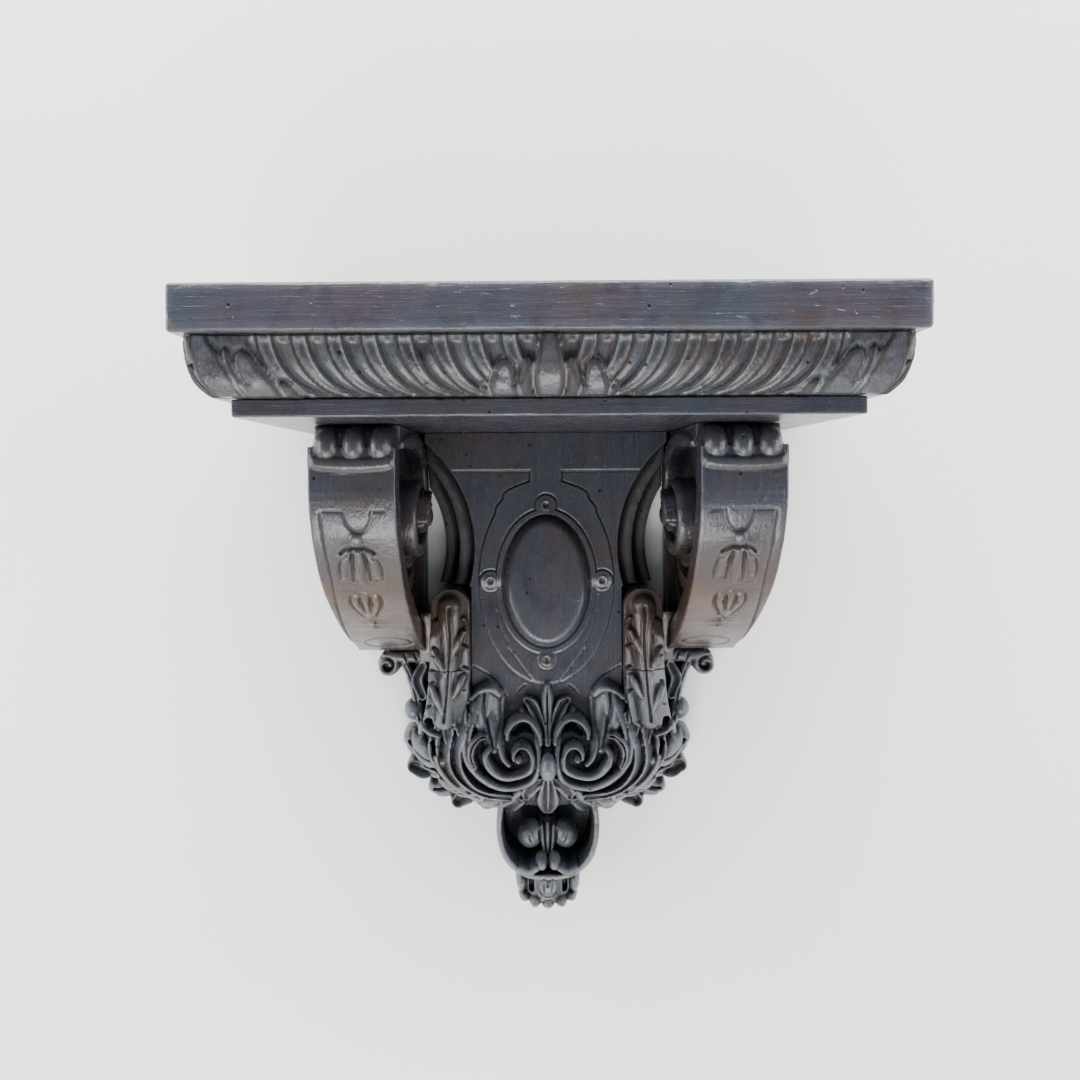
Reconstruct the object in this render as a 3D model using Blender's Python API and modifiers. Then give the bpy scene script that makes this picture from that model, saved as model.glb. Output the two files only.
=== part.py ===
"""Carved wooden wall bracket: shelf board, gadrooned moulding, bed board, two scrolls, carved body.

Metres, +Z up. The wall is the plane y = 0 and the bracket stands out along -Y. The origin is on the
wall behind the middle of the oval boss. Depth here means the distance out from the wall.
"""

import math

import bmesh
import bpy
from mathutils import Vector

# Fits between separate pieces, and the spare length that is sawn off a piece's flat ends
FIT = 0.0003
SAW_WASTE = 0.004

# Boards and moulding, stacked upwards from the top of the carved body
BODY_TOP = 0.1100
SHELF_WIDTH = 0.400
SHELF_DEPTH = 0.220
SHELF_THICK = 0.026
SHELF_EDGE_ROUND = 0.0022
MOULD_HEIGHT = 0.0320
MOULD_TOP_INSET = 0.007
MOULD_OVERHANG = 0.020
BED_INSET = 0.025
BED_THICK = 0.0100
BED_EDGE_ROUND = 0.0010

# Gadroons of the moulding
GADROON_PITCH = 0.0185
GADROON_DEPTH = 0.0034
GADROON_LEAN = 0.026
GADROON_STEPS = 4
CENTRE_LEAF_HALF = 0.032
CORNER_LEAF_WIDTH = 0.034
LEAF_PROUD = 0.0030

# Scroll brackets
SCROLL_INNER = 0.0905
SCROLL_WIDTH = 0.0565
SCROLL_REACH = 0.147
SCROLL_END = -0.052
SCROLL_LEAN = 0.0060
STRAP_THICK = 0.017
WEB_THICK = 0.030
ARCH_THICK = 0.013
BACK_BAND_THICK = 0.012
ROLL_RADIUS = 0.0130
ROLL_BALL_RADIUS = 0.0125
BARREL_RADIUS = 0.020
BARREL_DEPTH = 0.062
BARREL_HEIGHT = 0.050
BARREL_CURL_PROUD = 0.0115
STRAP_RELIEF = 0.0018

# Leaf columns beside the panel, sawn through at the glue joint
COLUMN_TOP = -0.004
COLUMN_DEPTH = 0.060
COLUMN_WIDTH = 0.028
COLUMN_RIDGES = 3
GLUE_JOINT = -0.062

# Panel with its stepped concave sides
PANEL_DEPTH = 0.040
PANEL_LOW_HALF = 0.056
PANEL_BOTTOM = -0.118
WAIST_HEIGHT = 0.025
WAIST_HALF = 0.053
WAIST_ARC = 0.100
STEP_OUT = 0.012
STEP_DEPTHS = (0.0400, 0.0270, 0.0120)
BOSS_HALF_WIDTH = 0.0314
BOSS_HALF_HEIGHT = 0.0480
BOSS_PROUD = 0.0100
STRAPWORK_PROUD = 0.0018
RING_WIDTH = 0.0062
FRAME_WIDTH = 0.0130
EAR_RADIUS = 0.0080
TOP_BAND_HEIGHT = 0.0280
STEM_HALF_WIDTH = 0.0120

# Leaf block, pendant and their carving; the carving is drawn in shares of the block's half width
LEAF_HALF_WIDTH = 0.105
LEAF_HEIGHT = -0.119
LEAF_DEPTH = 0.066
CARVE = LEAF_HALF_WIDTH / 105
PENDANT_DEPTH = 0.048
PENDANT_WALL = 0.0032
PENDANT_BACK = 0.010
PENDANT_ROOT = 40
PENDANT_BOTTOM = -0.2145
TERMINAL_HALF_WIDTH = 0.0235
TERMINAL_HALF_HEIGHT = 0.0165
SIDE_CURL_RADIUS = 0.0110
SIDE_CURL_BAND = 0.0035
SIDE_CURL_DEPTH = 0.020
SIDE_CURL_ACROSS = 0.0250
SIDE_ROLL_RADIUS = 0.0052
CARVING_VOXEL = 0.0017
CARVING_KEEP = 0.032

PARTS_NAME = "wooden_corbel_bracket"
CUTTERS_NAME = "cutters"


def start_empty():
    for old in list(bpy.data.objects):
        bpy.data.objects.remove(old, do_unlink=True)
    parts = bpy.data.collections.new(PARTS_NAME)
    cutters = bpy.data.collections.new(CUTTERS_NAME)
    bpy.context.scene.collection.children.link(parts)
    bpy.context.scene.collection.children.link(cutters)
    return parts, cutters


def wood(name, colour, roughness):
    material = bpy.data.materials.new(name)
    material.use_nodes = True
    shader = material.node_tree.nodes["Principled BSDF"]
    shader.inputs["Base Color"].default_value = (*colour, 1.0)
    shader.inputs["Roughness"].default_value = roughness
    shader.inputs["Metallic"].default_value = 0.0
    return material


def add_object(name, mesh, collection, material=None):
    item = bpy.data.objects.new(name, mesh)
    collection.objects.link(item)
    if material:
        mesh.materials.clear()
        mesh.materials.append(material)
    return item


def as_guide(item):
    item.hide_render = True
    item.display_type = "WIRE"
    return item


def mesh_from(name, build):
    mesh = bpy.data.meshes.new(name)
    form = bmesh.new()
    build(form)
    bmesh.ops.recalc_face_normals(form, faces=form.faces)
    form.to_mesh(mesh)
    form.free()
    return mesh


def place(across, depth, height):
    return Vector((across, -depth, height))


def rail(points, count):
    """Evenly stepped points along a smooth curve through the given ones, of any dimension."""
    size = len(points[0])
    ends = [points[0], *points, points[-1]]
    spans = len(points) - 1
    line = []
    for step in range(count):
        along = step / (count - 1) * spans
        span = min(int(along), spans - 1)
        t = along - span
        a, b, c, d = ends[span:span + 4]
        line.append(tuple(
            0.5 * (2 * b[i] + (c[i] - a[i]) * t + (2 * a[i] - 5 * b[i] + 4 * c[i] - d[i]) * t * t
                   + (3 * b[i] - a[i] - 3 * c[i] + d[i]) * t * t * t)
            for i in range(size)))
    return line


def add_loft(form, sections):
    """Closed skin through sections of equal point count, capped at both ends."""
    rings = [[form.verts.new(point) for point in section] for section in sections]
    count = len(rings[0])
    for low, high in zip(rings, rings[1:]):
        for i in range(count):
            j = (i + 1) % count
            form.faces.new((low[i], low[j], high[j], high[i]))
    form.faces.new(rings[0])
    form.faces.new(rings[-1])


def add_box(form, low, high):
    made = bmesh.ops.create_cube(form, size=1.0)
    low, high = Vector(low), Vector(high)
    for vert in made["verts"]:
        vert.co = Vector(low[i] + (vert.co[i] + 0.5) * (high[i] - low[i]) for i in range(3))


def add_ball(form, centre, radii, segments=12, rings=8):
    made = bmesh.ops.create_uvsphere(form, u_segments=segments, v_segments=rings, radius=1.0)
    for vert in made["verts"]:
        vert.co = Vector(centre[i] + vert.co[i] * radii[i] for i in range(3))


def add_barrel(form, centre, radius, length, segments=20):
    """A cylinder whose axis runs across the bracket, along X."""
    made = bmesh.ops.create_cone(
        form, cap_ends=True, segments=segments, radius1=radius, radius2=radius, depth=length)
    for vert in made["verts"]:
        vert.co = Vector((centre[0] + vert.co.z, centre[1] + vert.co.x, centre[2] + vert.co.y))


def add_ribbon(form, line, root, sides=5):
    """A carved rib along (across, depth, height, half width, rise), rooted in the wood below it."""
    sections = []
    for i, (across, depth, height, half, rise) in enumerate(line):
        before, after = line[max(i - 1, 0)], line[min(i + 1, len(line) - 1)]
        run = Vector((after[0] - before[0], 0.0, after[2] - before[2])).normalized()
        side = Vector((-run.z, 0.0, run.x))
        middle = place(across, depth, height)
        out = Vector((0.0, -1.0, 0.0))
        section = [middle - side * half * 0.8 - out * root]
        for k in range(sides):
            angle = math.pi * (1 - k / (sides - 1))
            section.append(middle + side * half * math.cos(angle) + out * rise * math.sin(angle))
        section.append(middle + side * half * 0.8 - out * root)
        sections.append(section)
    add_loft(form, sections)


def add_slab(form, outline, near, far, axis):
    """An outline swept between two distances: axis x takes (depth, height), axis y (across, height)."""
    if axis == "x":
        sections = [[place(at, depth, height) for depth, height in outline] for at in (near, far)]
    else:
        sections = [[place(across, at, height) for across, height in outline] for at in (near, far)]
    add_loft(form, sections)


def add_other_half(form):
    """The mirror image of everything so far, across the bracket's middle."""
    copy = bmesh.ops.duplicate(form, geom=form.verts[:] + form.edges[:] + form.faces[:])
    for item in copy["geom"]:
        if isinstance(item, bmesh.types.BMVert):
            item.co.x = -item.co.x


def union(target, other):
    joint = target.modifiers.new("join_" + other.name, "BOOLEAN")
    joint.operation = "UNION"
    joint.use_self = True
    joint.object = other


def cut(target, other):
    removal = target.modifiers.new("cut_" + other.name, "BOOLEAN")
    removal.operation = "DIFFERENCE"
    removal.object = other


def soften(item, width, segments=2):
    bevel = item.modifiers.new("worn_edges", "BEVEL")
    bevel.width = width
    bevel.segments = segments
    bevel.limit_method = "ANGLE"


def smooth_round(mesh, degrees=40):
    mesh.shade_smooth()
    mesh.set_sharp_from_angle(angle=math.radians(degrees))


# Boards

def bed_bottom():
    return BODY_TOP + FIT


def mould_bottom():
    return bed_bottom() + BED_THICK + FIT


def shelf_bottom():
    return mould_bottom() + MOULD_HEIGHT + FIT


def make_board(name, inset, low, thick, edge, material, parts):
    half = SHELF_WIDTH / 2 - inset
    mesh = mesh_from(name, lambda form: add_box(
        form, (-half, inset - SHELF_DEPTH, low), (half, 0.0, low + thick)))
    board = add_object(name, mesh, parts, material)
    soften(board, edge)
    return board


# Gadrooned moulding

def gadroon_relief(from_centre, to_corner, share):
    """Depth of the carving at a place on the moulding, share 0 at its top and 1 at its foot."""
    phase = (from_centre + GADROON_LEAN * share * share) / GADROON_PITCH
    groove = 0.5 + 0.5 * math.cos(2 * math.pi * phase)
    hollow = 0.5 - 0.5 * math.cos(2 * math.pi * phase)
    fade = min(1.0, 6 * share + 0.35) * min(1.0, 5 * (1 - share))
    wave = -GADROON_DEPTH * fade * (groove ** 2 + 0.35 * hollow ** 6)
    leaf = 0.0
    centre_half = CENTRE_LEAF_HALF * (0.35 + 0.65 * share)
    corner_width = CORNER_LEAF_WIDTH * (0.55 + 0.45 * share)
    if from_centre < centre_half:
        leaf = LEAF_PROUD
    if to_corner < corner_width and share > 0.15:
        leaf = LEAF_PROUD
    return leaf * math.sin(math.pi * min(1.0, share + 0.12)) if leaf else wave


def mould_columns(half, full_half, lean, centred):
    """Places along one face, closing up towards the middle as the gadroons lean inwards."""
    count = int(full_half / (GADROON_PITCH / GADROON_STEPS))
    places = [half * i / count for i in range(count + 1)]
    blend = GADROON_PITCH / 2
    leaned = []
    for at in places:
        shifted = at - lean * (1 - at / half)
        leaned.append(shifted / 2 + math.sqrt(shifted * shifted / 4 + blend * blend * at / half))
    leaned = [value * half / leaned[-1] for value in leaned]
    leaned[0] = 0.0
    if centred:
        return [-value for value in reversed(leaned[1:])] + leaned
    return leaned


def mould_section(share):
    """One plan outline of the moulding, from the left back corner round the front to the right."""
    angle = math.pi / 2 * share
    half_top = SHELF_WIDTH / 2 - MOULD_TOP_INSET - MOULD_OVERHANG
    reach_top = SHELF_DEPTH - MOULD_TOP_INSET - MOULD_OVERHANG
    half = half_top + MOULD_OVERHANG * math.cos(angle)
    reach = reach_top + MOULD_OVERHANG * math.cos(angle)
    height = shelf_bottom() - FIT - MOULD_HEIGHT * math.sin(angle)
    lean = GADROON_LEAN * share * share
    side = mould_columns(reach, reach_top + MOULD_OVERHANG, lean, False)
    front = mould_columns(half, half_top + MOULD_OVERHANG, lean, True)
    out, down = math.cos(angle), math.sin(angle)

    def push(point, normal, from_centre, to_corner):
        carve = gadroon_relief(from_centre, to_corner, share) if to_corner > 0.0005 else 0.0
        low = mould_bottom()
        moved = point + normal * carve * out
        moved.z = max(low, point.z - carve * down) if share < 1.0 else low
        if share == 0.0:
            moved.z = point.z
        return moved

    section = []
    for at in side:
        section.append(push(place(-half, at, height), Vector((-1, 0, 0)), at, reach - at))
    for at in front[1:-1]:
        section.append(push(place(at, reach, height), Vector((0, -1, 0)), abs(at), half - abs(at)))
    for at in reversed(side):
        section.append(push(place(half, at, height), Vector((1, 0, 0)), at, reach - at))
    return section


def make_moulding(material, parts):
    shares = (0.0, 0.17, 0.34, 0.52, 0.7, 0.87, 1.0)
    mesh = mesh_from("gadroon_moulding", lambda form: add_loft(
        form, [mould_section(share) for share in shares]))
    return add_object("gadroon_moulding", mesh, parts, material)


# Scroll brackets

def strap_front():
    """Side profile of the strap's outer face, (depth, height), from the roll down to its sawn end."""
    reach, top, end = SCROLL_REACH, BODY_TOP, SCROLL_END
    drop = top - end
    shape = ((1.0, 0.16), (0.993, 0.29), (0.939, 0.438), (0.85, 0.568),
             (0.735, 0.698), (0.578, 0.821), (0.408, 0.92), (0.211, 1.0))
    return rail([(reach * out, top - drop * down) for out, down in shape], 15)


def inward(line, amount):
    """The same line moved towards the wall, square to itself."""
    moved = []
    for i, point in enumerate(line):
        before, after = line[max(i - 1, 0)], line[min(i + 1, len(line) - 1)]
        run = Vector((after[0] - before[0], after[1] - before[1])).normalized()
        moved.append((point[0] + run.y * amount, point[1] - run.x * amount))
    return moved


def strap_outline():
    front = strap_front()
    back = inward(front, STRAP_THICK)
    foot = (max(back[-1][0], 0.0), SCROLL_END)
    return front + [foot] + list(reversed(back[:-1]))


def web_outline():
    front = inward(strap_front(), STRAP_THICK / 2)
    front = [point for point in front if point[1] > SCROLL_END + STRAP_THICK / 4]
    roll = (SCROLL_REACH - ROLL_RADIUS, BODY_TOP - ARCH_THICK / 2)
    return [(0.0, BODY_TOP - ARCH_THICK / 2), roll, *front, (0.0, SCROLL_END)]


def arch_outline():
    top, under = BODY_TOP, BODY_TOP - ARCH_THICK
    back = BACK_BAND_THICK
    turn = 0.020
    hollow = [(back + turn - turn * math.cos(a), under - turn + turn * math.sin(a))
              for a in (math.pi / 2 * k / 5 for k in range(6))]
    reach = SCROLL_REACH - ROLL_RADIUS
    return [(0.0, SCROLL_END), (0.0, top), (reach, top), (reach, under),
            *reversed(hollow), (back, SCROLL_END)]


def column_ribs(form, sign, top, bottom, depth, root):
    """Fluted leaf column: upright ribs, drawn together at the rounded top and spread at the foot."""
    inner = PANEL_LOW_HALF + FIT
    spacing = COLUMN_WIDTH / COLUMN_RIDGES
    for rib in range(COLUMN_RIDGES):
        across = inner + spacing * (rib + 0.5)
        start = min(top, COLUMN_TOP - abs(across - inner - COLUMN_WIDTH / 2) * 0.55)
        line = []
        for step in range(6):
            height = start + (bottom - start) * step / 5
            spread = 1 + 1.05 * max(0.0, (GLUE_JOINT - height) / LEAF_HALF_WIDTH)
            sink = 0.014 * max(0.0, 1 - (COLUMN_TOP - height) / 0.010) ** 2
            at = inner + (across - inner) * spread
            line.append((sign * at, depth - 0.003 - sink, height, spacing * (0.50 - 0.004 * rib), 0.006))
        add_ribbon(form, line, root - 0.001 * rib)


def make_scroll(name, sign, material, parts, cutters):
    inner, outer = SCROLL_INNER, SCROLL_INNER + SCROLL_WIDTH
    middle = (inner + outer) / 2
    low, high = (inner, outer) if sign > 0 else (-outer, -inner)

    mesh = mesh_from(name, lambda form: add_slab(form, strap_outline(), low, high, "x"))
    scroll = add_object(name, mesh, parts, material)

    def extra(label, build):
        piece = add_object(name + "_" + label, mesh_from(name + "_" + label, build), cutters)
        union(scroll, as_guide(piece))

    half_web = WEB_THICK / 2
    extra("web", lambda form: add_slab(
        form, web_outline(), sign * middle - half_web, sign * middle + half_web, "x"))
    extra("arch", lambda form: add_slab(form, arch_outline(), low + FIT, high - FIT, "x"))
    roll_at = place(sign * middle, SCROLL_REACH - ROLL_RADIUS, BODY_TOP - ROLL_RADIUS)
    extra("roll", lambda form: add_barrel(form, roll_at, ROLL_RADIUS, SCROLL_WIDTH - 0.003))

    def balls(form):
        for share in (0.40, 0.75):
            across = sign * (inner + SCROLL_WIDTH * share)
            add_ball(form, place(across, SCROLL_REACH - ROLL_RADIUS * 0.55, roll_at.z - 0.001),
                     (ROLL_BALL_RADIUS * 0.8, ROLL_BALL_RADIUS, ROLL_BALL_RADIUS * 0.98), 10, 6)
    extra("balls", balls)

    barrel_at = place(sign * middle, BARREL_DEPTH, BARREL_HEIGHT)
    extra("barrel", lambda form: add_barrel(form, barrel_at, BARREL_RADIUS, SCROLL_WIDTH - 0.002))

    curl_face = inner - BARREL_CURL_PROUD
    curl_at = place(sign * (curl_face + inner + 0.006) / 2, BARREL_DEPTH, BARREL_HEIGHT)
    extra("curl", lambda form: add_barrel(
        form, curl_at, BARREL_RADIUS * 0.8, BARREL_CURL_PROUD + 0.006, 14))
    eye_at = place(sign * (curl_face + 0.001), BARREL_DEPTH, BARREL_HEIGHT)
    extra("curl_eye", lambda form: add_barrel(form, eye_at, BARREL_RADIUS * 0.42, 0.007, 9))

    def column_block(form):
        edge = PANEL_LOW_HALF + FIT
        far = edge + COLUMN_WIDTH
        shape = [(edge, GLUE_JOINT), (inner + 0.002, GLUE_JOINT), (inner + 0.002, -0.022),
                 (far, COLUMN_TOP - 0.010), (far - 0.008, COLUMN_TOP),
                 (edge + 0.008, COLUMN_TOP), (edge, COLUMN_TOP - 0.010)]
        add_slab(form, [(sign * x, z) for x, z in shape], 0.0, COLUMN_DEPTH - 0.004, "y")
    extra("column", column_block)
    extra("ribs", lambda form: column_ribs(
        form, sign, COLUMN_TOP, GLUE_JOINT, COLUMN_DEPTH, COLUMN_DEPTH * 0.3))

    def husk(form):
        front = strap_front()
        for start, count, wide in ((5, 3, 0.013), (8, 3, 0.009)):
            line = []
            for step in range(count):
                depth, height = front[start + step]
                line.append((sign * (middle + 0.001 * step), depth - 0.0005, height,
                             wide * (1 - 0.35 * step / count), STRAP_RELIEF))
            add_ribbon(form, line, 0.004, 4)
    extra("husk", husk)

    def lean(form):
        reach = SCROLL_REACH + 0.05
        wedge = [(outer, 0.0), (outer + 0.02, 0.0), (outer + 0.02, SCROLL_END - 0.02),
                 (outer - SCROLL_LEAN, SCROLL_END - 0.02)]
        add_slab(form, [(sign * x, z) for x, z in wedge], -0.01, reach, "y")
    lean_piece = add_object(name + "_lean", mesh_from(name + "_lean", lean), cutters)
    cut(scroll, as_guide(lean_piece))
    level_piece = add_object(name + "_sawn_end", mesh_from(name + "_sawn_end", lambda form: add_box(
        form, (-SHELF_WIDTH, -SHELF_DEPTH, GLUE_JOINT - 0.05),
        (SHELF_WIDTH, 0.01, GLUE_JOINT + FIT / 2))), cutters)
    cut(scroll, as_guide(level_piece))
    return scroll


# Carved body

def waist(half, arc, top, bottom, steps=10):
    """Half width at each height of a concave side, narrowest at the waist."""
    side = []
    for i in range(steps + 1):
        height = top + (bottom - top) * i / steps
        rise = min(abs(height - WAIST_HEIGHT), arc * 0.995)
        side.append((half + arc - math.sqrt(arc * arc - rise * rise), height))
    return side


def panel_outline(level):
    """Front outline of one step of the panel, widest at the wall."""
    limit = SCROLL_INNER - FIT
    half = WAIST_HALF + STEP_OUT * level
    arc = WAIST_ARC - 0.007 * level
    side = [(min(x, limit), z) for x, z in waist(half, arc, BODY_TOP, COLUMN_TOP - 0.004)]
    foot = PANEL_BOTTOM if level == 0 else GLUE_JOINT - 0.004 * level
    low = PANEL_LOW_HALF - 0.001 * level
    right = [(side[0][0], BODY_TOP + SAW_WASTE)] + side + [(low, side[-1][1] - 0.001), (low, foot)]
    return right + [(-x, z) for x, z in reversed(right)]


def ellipse(half_width, half_height, count=32):
    turns = [2 * math.pi * k / count for k in range(count)]
    return [(half_width * math.cos(turn), half_height * math.sin(turn)) for turn in turns]


def add_boss(form):
    """Steep rounded rim and a nearly flat face."""
    rows = ((1.0, -0.5), (1.0, 0.25), (0.955, 0.62), (0.86, 0.87), (0.68, 1.0))
    sections = []
    for scale, rise in rows:
        outline = ellipse(BOSS_HALF_WIDTH * scale, BOSS_HALF_HEIGHT * (1 - (1 - scale) * 0.7), 28)
        sections.append([place(x, PANEL_DEPTH + BOSS_PROUD * rise, z) for x, z in outline])
    add_loft(form, sections)


def add_strapwork(form):
    """Raised oval band round the boss, its four ears, the stem and the band under the shelf."""
    front = PANEL_DEPTH + STRAPWORK_PROUD
    band = ellipse(BOSS_HALF_WIDTH + RING_WIDTH + FRAME_WIDTH / 2,
                   BOSS_HALF_HEIGHT + RING_WIDTH + FRAME_WIDTH)
    add_slab(form, band, PANEL_DEPTH - 0.003, front, "y")


def add_ears(form):
    front = PANEL_DEPTH + 2 * STRAPWORK_PROUD
    across = BOSS_HALF_WIDTH + EAR_RADIUS + 0.002
    up = BOSS_HALF_HEIGHT + EAR_RADIUS
    ring = ellipse(BOSS_HALF_WIDTH + RING_WIDTH, BOSS_HALF_HEIGHT + RING_WIDTH)
    add_slab(form, ring, PANEL_DEPTH - 0.002, front, "y")
    for x, z in ((across, 0.0), (-across, 0.0), (0.0, up), (0.0, -up)):
        made = bmesh.ops.create_cone(form, cap_ends=True, segments=14, radius1=EAR_RADIUS,
                                     radius2=EAR_RADIUS, depth=0.008)
        for vert in made["verts"]:
            vert.co = place(x + vert.co.x, front + vert.co.z - 0.004, z + vert.co.y)


def add_top_band(form):
    front = PANEL_DEPTH + STRAPWORK_PROUD + FIT / 2
    low = BODY_TOP - TOP_BAND_HEIGHT
    half = waist(WAIST_HALF, WAIST_ARC, low, low, 1)[0][0] - 0.003
    stem_foot = BOSS_HALF_HEIGHT + RING_WIDTH
    shape = [(half, BODY_TOP + SAW_WASTE), (half, low), (STEM_HALF_WIDTH, low),
             (STEM_HALF_WIDTH, stem_foot)]
    shape += [(-x, z) for x, z in reversed(shape)]
    add_slab(form, shape, PANEL_DEPTH - 0.003, front, "y")


def bowl(x, z):
    """Depth of the leaf block's ground surface at a place in the block's own shares."""
    inside = 1.0 - (x / 104) ** 2 - (z / 60) ** 2
    return LEAF_DEPTH * math.sqrt(max(inside, 0.02))


def leaf_strokes():
    """Ribs of the right half of the leaf block: name, points (across, up, half width, rise)."""
    return {
        "tall_leaf": ((38, -24, 4, 4), (47, -6, 9, 7), (50, 14, 10, 9), (46, 30, 6, 7)),
        "second_leaf": ((50, -20, 4, 4), (61, -4, 7, 6), (66, 13, 8, 8), (63, 27, 4, 6)),
        "third_leaf": ((62, -24, 4, 4), (75, -8, 6, 6), (81, 8, 7, 8), (79, 19, 4, 8)),
        "outer_curl": ((72, -30, 4, 5), (87, -16, 5, 8), (96, -3, 5, 12), (95, 6, 4, 14)),
        "side_lobe": ((74, -26, 8, 4), (90, -20, 11, 8), (101, -14, 7, 10)),
        "low_lobe": ((56, -34, 8, 4), (69, -42, 12, 8), (76, -47, 7, 10)),
        "foot_lobe": ((30, -38, 8, 3), (42, -46, 11, 6), (46, -51, 6, 6)),
        "long_sweep": ((10, -14, 4, 6), (19, -28, 5, 8), (38, -34, 5, 8), (58, -28, 5, 9),
                       (76, -12, 4, 10), (86, 4, 3, 10)),
        "inner_ridge": ((26, -24, 3, 8), (44, -24, 4, 10), (57, -13, 4, 10), (62, 4, 3, 8)),
        "curled_lobe": ((34, -21, 3, 7), (43, -13, 5, 9), (47, -1, 4, 10), (44, 3, 3, 8)),
        "brow": ((32, 0, 3, 9), (28, 10, 4, 11), (19, 15, 4, 12), (9, 11, 4, 11), (6, 3, 3, 9)),
        "palm_side": ((3, 4, 3, 4), (7, 14, 4, 7), (10, 24, 3, 6)),
        "palm_low": ((5, 2, 3, 5), (12, 6, 4, 8), (14, 13, 3, 6)),
        "tongue_side": ((5, -22, 4, 8), (13, -30, 6, 8), (15, -41, 4, 6)),
        "small_stem": ((107, 55, 4, -28), (103, 37, 5, -22), (98, 19, 5, -10), (90, 2, 4, 0)),
    }


def centre_strokes():
    return {
        "palm_middle": ((0, 2, 3, 6), (0, 18, 5, 9), (0, 35, 2, 5)),
        "tongue": ((0, -20, 6, 9), (0, -34, 9, 9), (0, -46, 5, 7)),
    }


def add_stroke(form, points, sides=5):
    count = 3 * (len(points) - 1) + 1
    line = []
    for x, z, half, rise in rail(points, count):
        depth = bowl(x, z)
        lift = max(rise, 3) if rise > 0 else 6
        deep = depth + min(rise, 0) * CARVE
        line.append((x * CARVE, deep, LEAF_HEIGHT + z * CARVE, half * CARVE, lift * CARVE))
    add_ribbon(form, line, LEAF_DEPTH * 0.45, sides)


def add_volute(form):
    turns, count = 1.35, 20
    points = []
    for k in range(count):
        share = k / (count - 1)
        angle = math.radians(200) + 2 * math.pi * turns * share
        radius = 14.0 - 10.5 * share
        x, z = 22 + radius * math.cos(angle), -9 + radius * math.sin(angle)
        points.append((x * CARVE, bowl(x, z), LEAF_HEIGHT + z * CARVE, 3.4 * CARVE, 11 * CARVE))
    add_ribbon(form, points, LEAF_DEPTH * 0.4)


def pendant_line():
    """Half of the pendant's U-shaped wall, from under the leaves to the bottom, in block shares."""
    head = -PENDANT_ROOT
    foot = (PENDANT_BOTTOM - LEAF_HEIGHT) / CARVE
    shape = ((29, 0.0), (35, 0.22), (37, 0.48), (33, 0.74), (22, 0.91), (10, 0.98), (-3, 1.0))
    return tuple((x, head + (foot - head) * down) for x, down in shape)


def add_pendant(form):
    line = [(x * CARVE, LEAF_HEIGHT + z * CARVE) for x, z in rail(pendant_line(), 16)]
    sections = []
    for i, (x, z) in enumerate(line):
        before, after = line[max(i - 1, 0)], line[min(i + 1, len(line) - 1)]
        run = Vector((after[0] - before[0], 0.0, after[1] - before[1])).normalized()
        side = Vector((-run.z, 0.0, run.x)) * PENDANT_WALL
        near, far = place(x, -0.004, z), place(x, PENDANT_DEPTH, z)
        crown = Vector((0.0, -0.002, 0.0))
        sections.append([near - side, far - side, far + crown, far + side, near + side])
    add_loft(form, sections)
    back = line + [(-x, z) for x, z in reversed(line)]
    add_slab(form, back, -0.004, PENDANT_BACK, "y")


def add_pendant_leaf(form):
    foot = (PENDANT_BOTTOM - LEAF_HEIGHT) / CARVE

    def at(x, depth, z):
        return place(x * CARVE, depth, LEAF_HEIGHT + (foot + z) * CARVE)

    add_ball(form, at(14, PENDANT_DEPTH * 0.5, 28), (0.011, 0.014, 0.0105))
    add_ball(form, at(0, PENDANT_DEPTH * 0.38, 26), (0.013, 0.013, 0.014))
    add_ball(form, at(0, PENDANT_DEPTH * 0.35, 42), (0.016, 0.014, 0.016))
    add_ball(form, at(5.5, PENDANT_DEPTH * 0.72, 5), (0.0065, 0.016, 0.0075))


def add_terminal(form):
    half, tall = TERMINAL_HALF_WIDTH, TERMINAL_HALF_HEIGHT
    centre = PENDANT_BOTTOM - tall * 0.80
    add_ball(form, place(0.0, PENDANT_DEPTH * 0.40, centre), (half, PENDANT_DEPTH * 0.52, tall), 20, 10)
    for x in (0.0, 0.40, 0.80):
        add_ball(form, place(half * x, PENDANT_DEPTH * (0.72 - 0.3 * x * x), centre),
                 (half * 0.24, PENDANT_DEPTH * 0.22, tall * 0.85))


def add_side_curls(form):
    """The little scroll and the rolled leaf under each strap end, and the bud on the stem."""
    top = SCROLL_END - FIT
    across = SCROLL_INNER + SCROLL_WIDTH - SIDE_CURL_ACROSS
    height = top - SIDE_CURL_RADIUS - SIDE_CURL_BAND
    line = []
    for k in range(15):
        share = k / 14
        angle = math.radians(80) + 2 * math.pi * 1.15 * share
        radius = (SIDE_CURL_RADIUS - SIDE_CURL_BAND) * (1 - 0.6 * share)
        line.append((across + radius * math.cos(angle), SIDE_CURL_DEPTH,
                     height + radius * math.sin(angle), SIDE_CURL_BAND, SIDE_CURL_BAND))
    add_ribbon(form, line, SIDE_CURL_DEPTH + SAW_WASTE / 2)
    start = (PANEL_LOW_HALF + COLUMN_WIDTH, top - SIDE_ROLL_RADIUS * 1.35)
    end = (across, top - SIDE_ROLL_RADIUS * 1.9)
    roll = [(start[0] + (end[0] - start[0]) * k / 5, SIDE_CURL_DEPTH,
             start[1] + (end[1] - start[1]) * k / 5, SIDE_ROLL_RADIUS, SIDE_ROLL_RADIUS)
            for k in range(6)]
    add_ribbon(form, roll, SIDE_CURL_DEPTH + SAW_WASTE)
    bud = (99.5 * CARVE, SIDE_CURL_DEPTH, LEAF_HEIGHT + 19 * CARVE)
    add_ball(form, place(*bud), (7.5 * CARVE, 12 * CARVE, 8.5 * CARVE))


def add_bowl(form):
    """Swelling ground of the leaf block, carried through the wall plane so the back can be sawn flat."""
    add_ball(form, place(0.0, 0.0, LEAF_HEIGHT - 0.006), (96 * CARVE, LEAF_DEPTH, 46 * CARVE), 24, 14)


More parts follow.
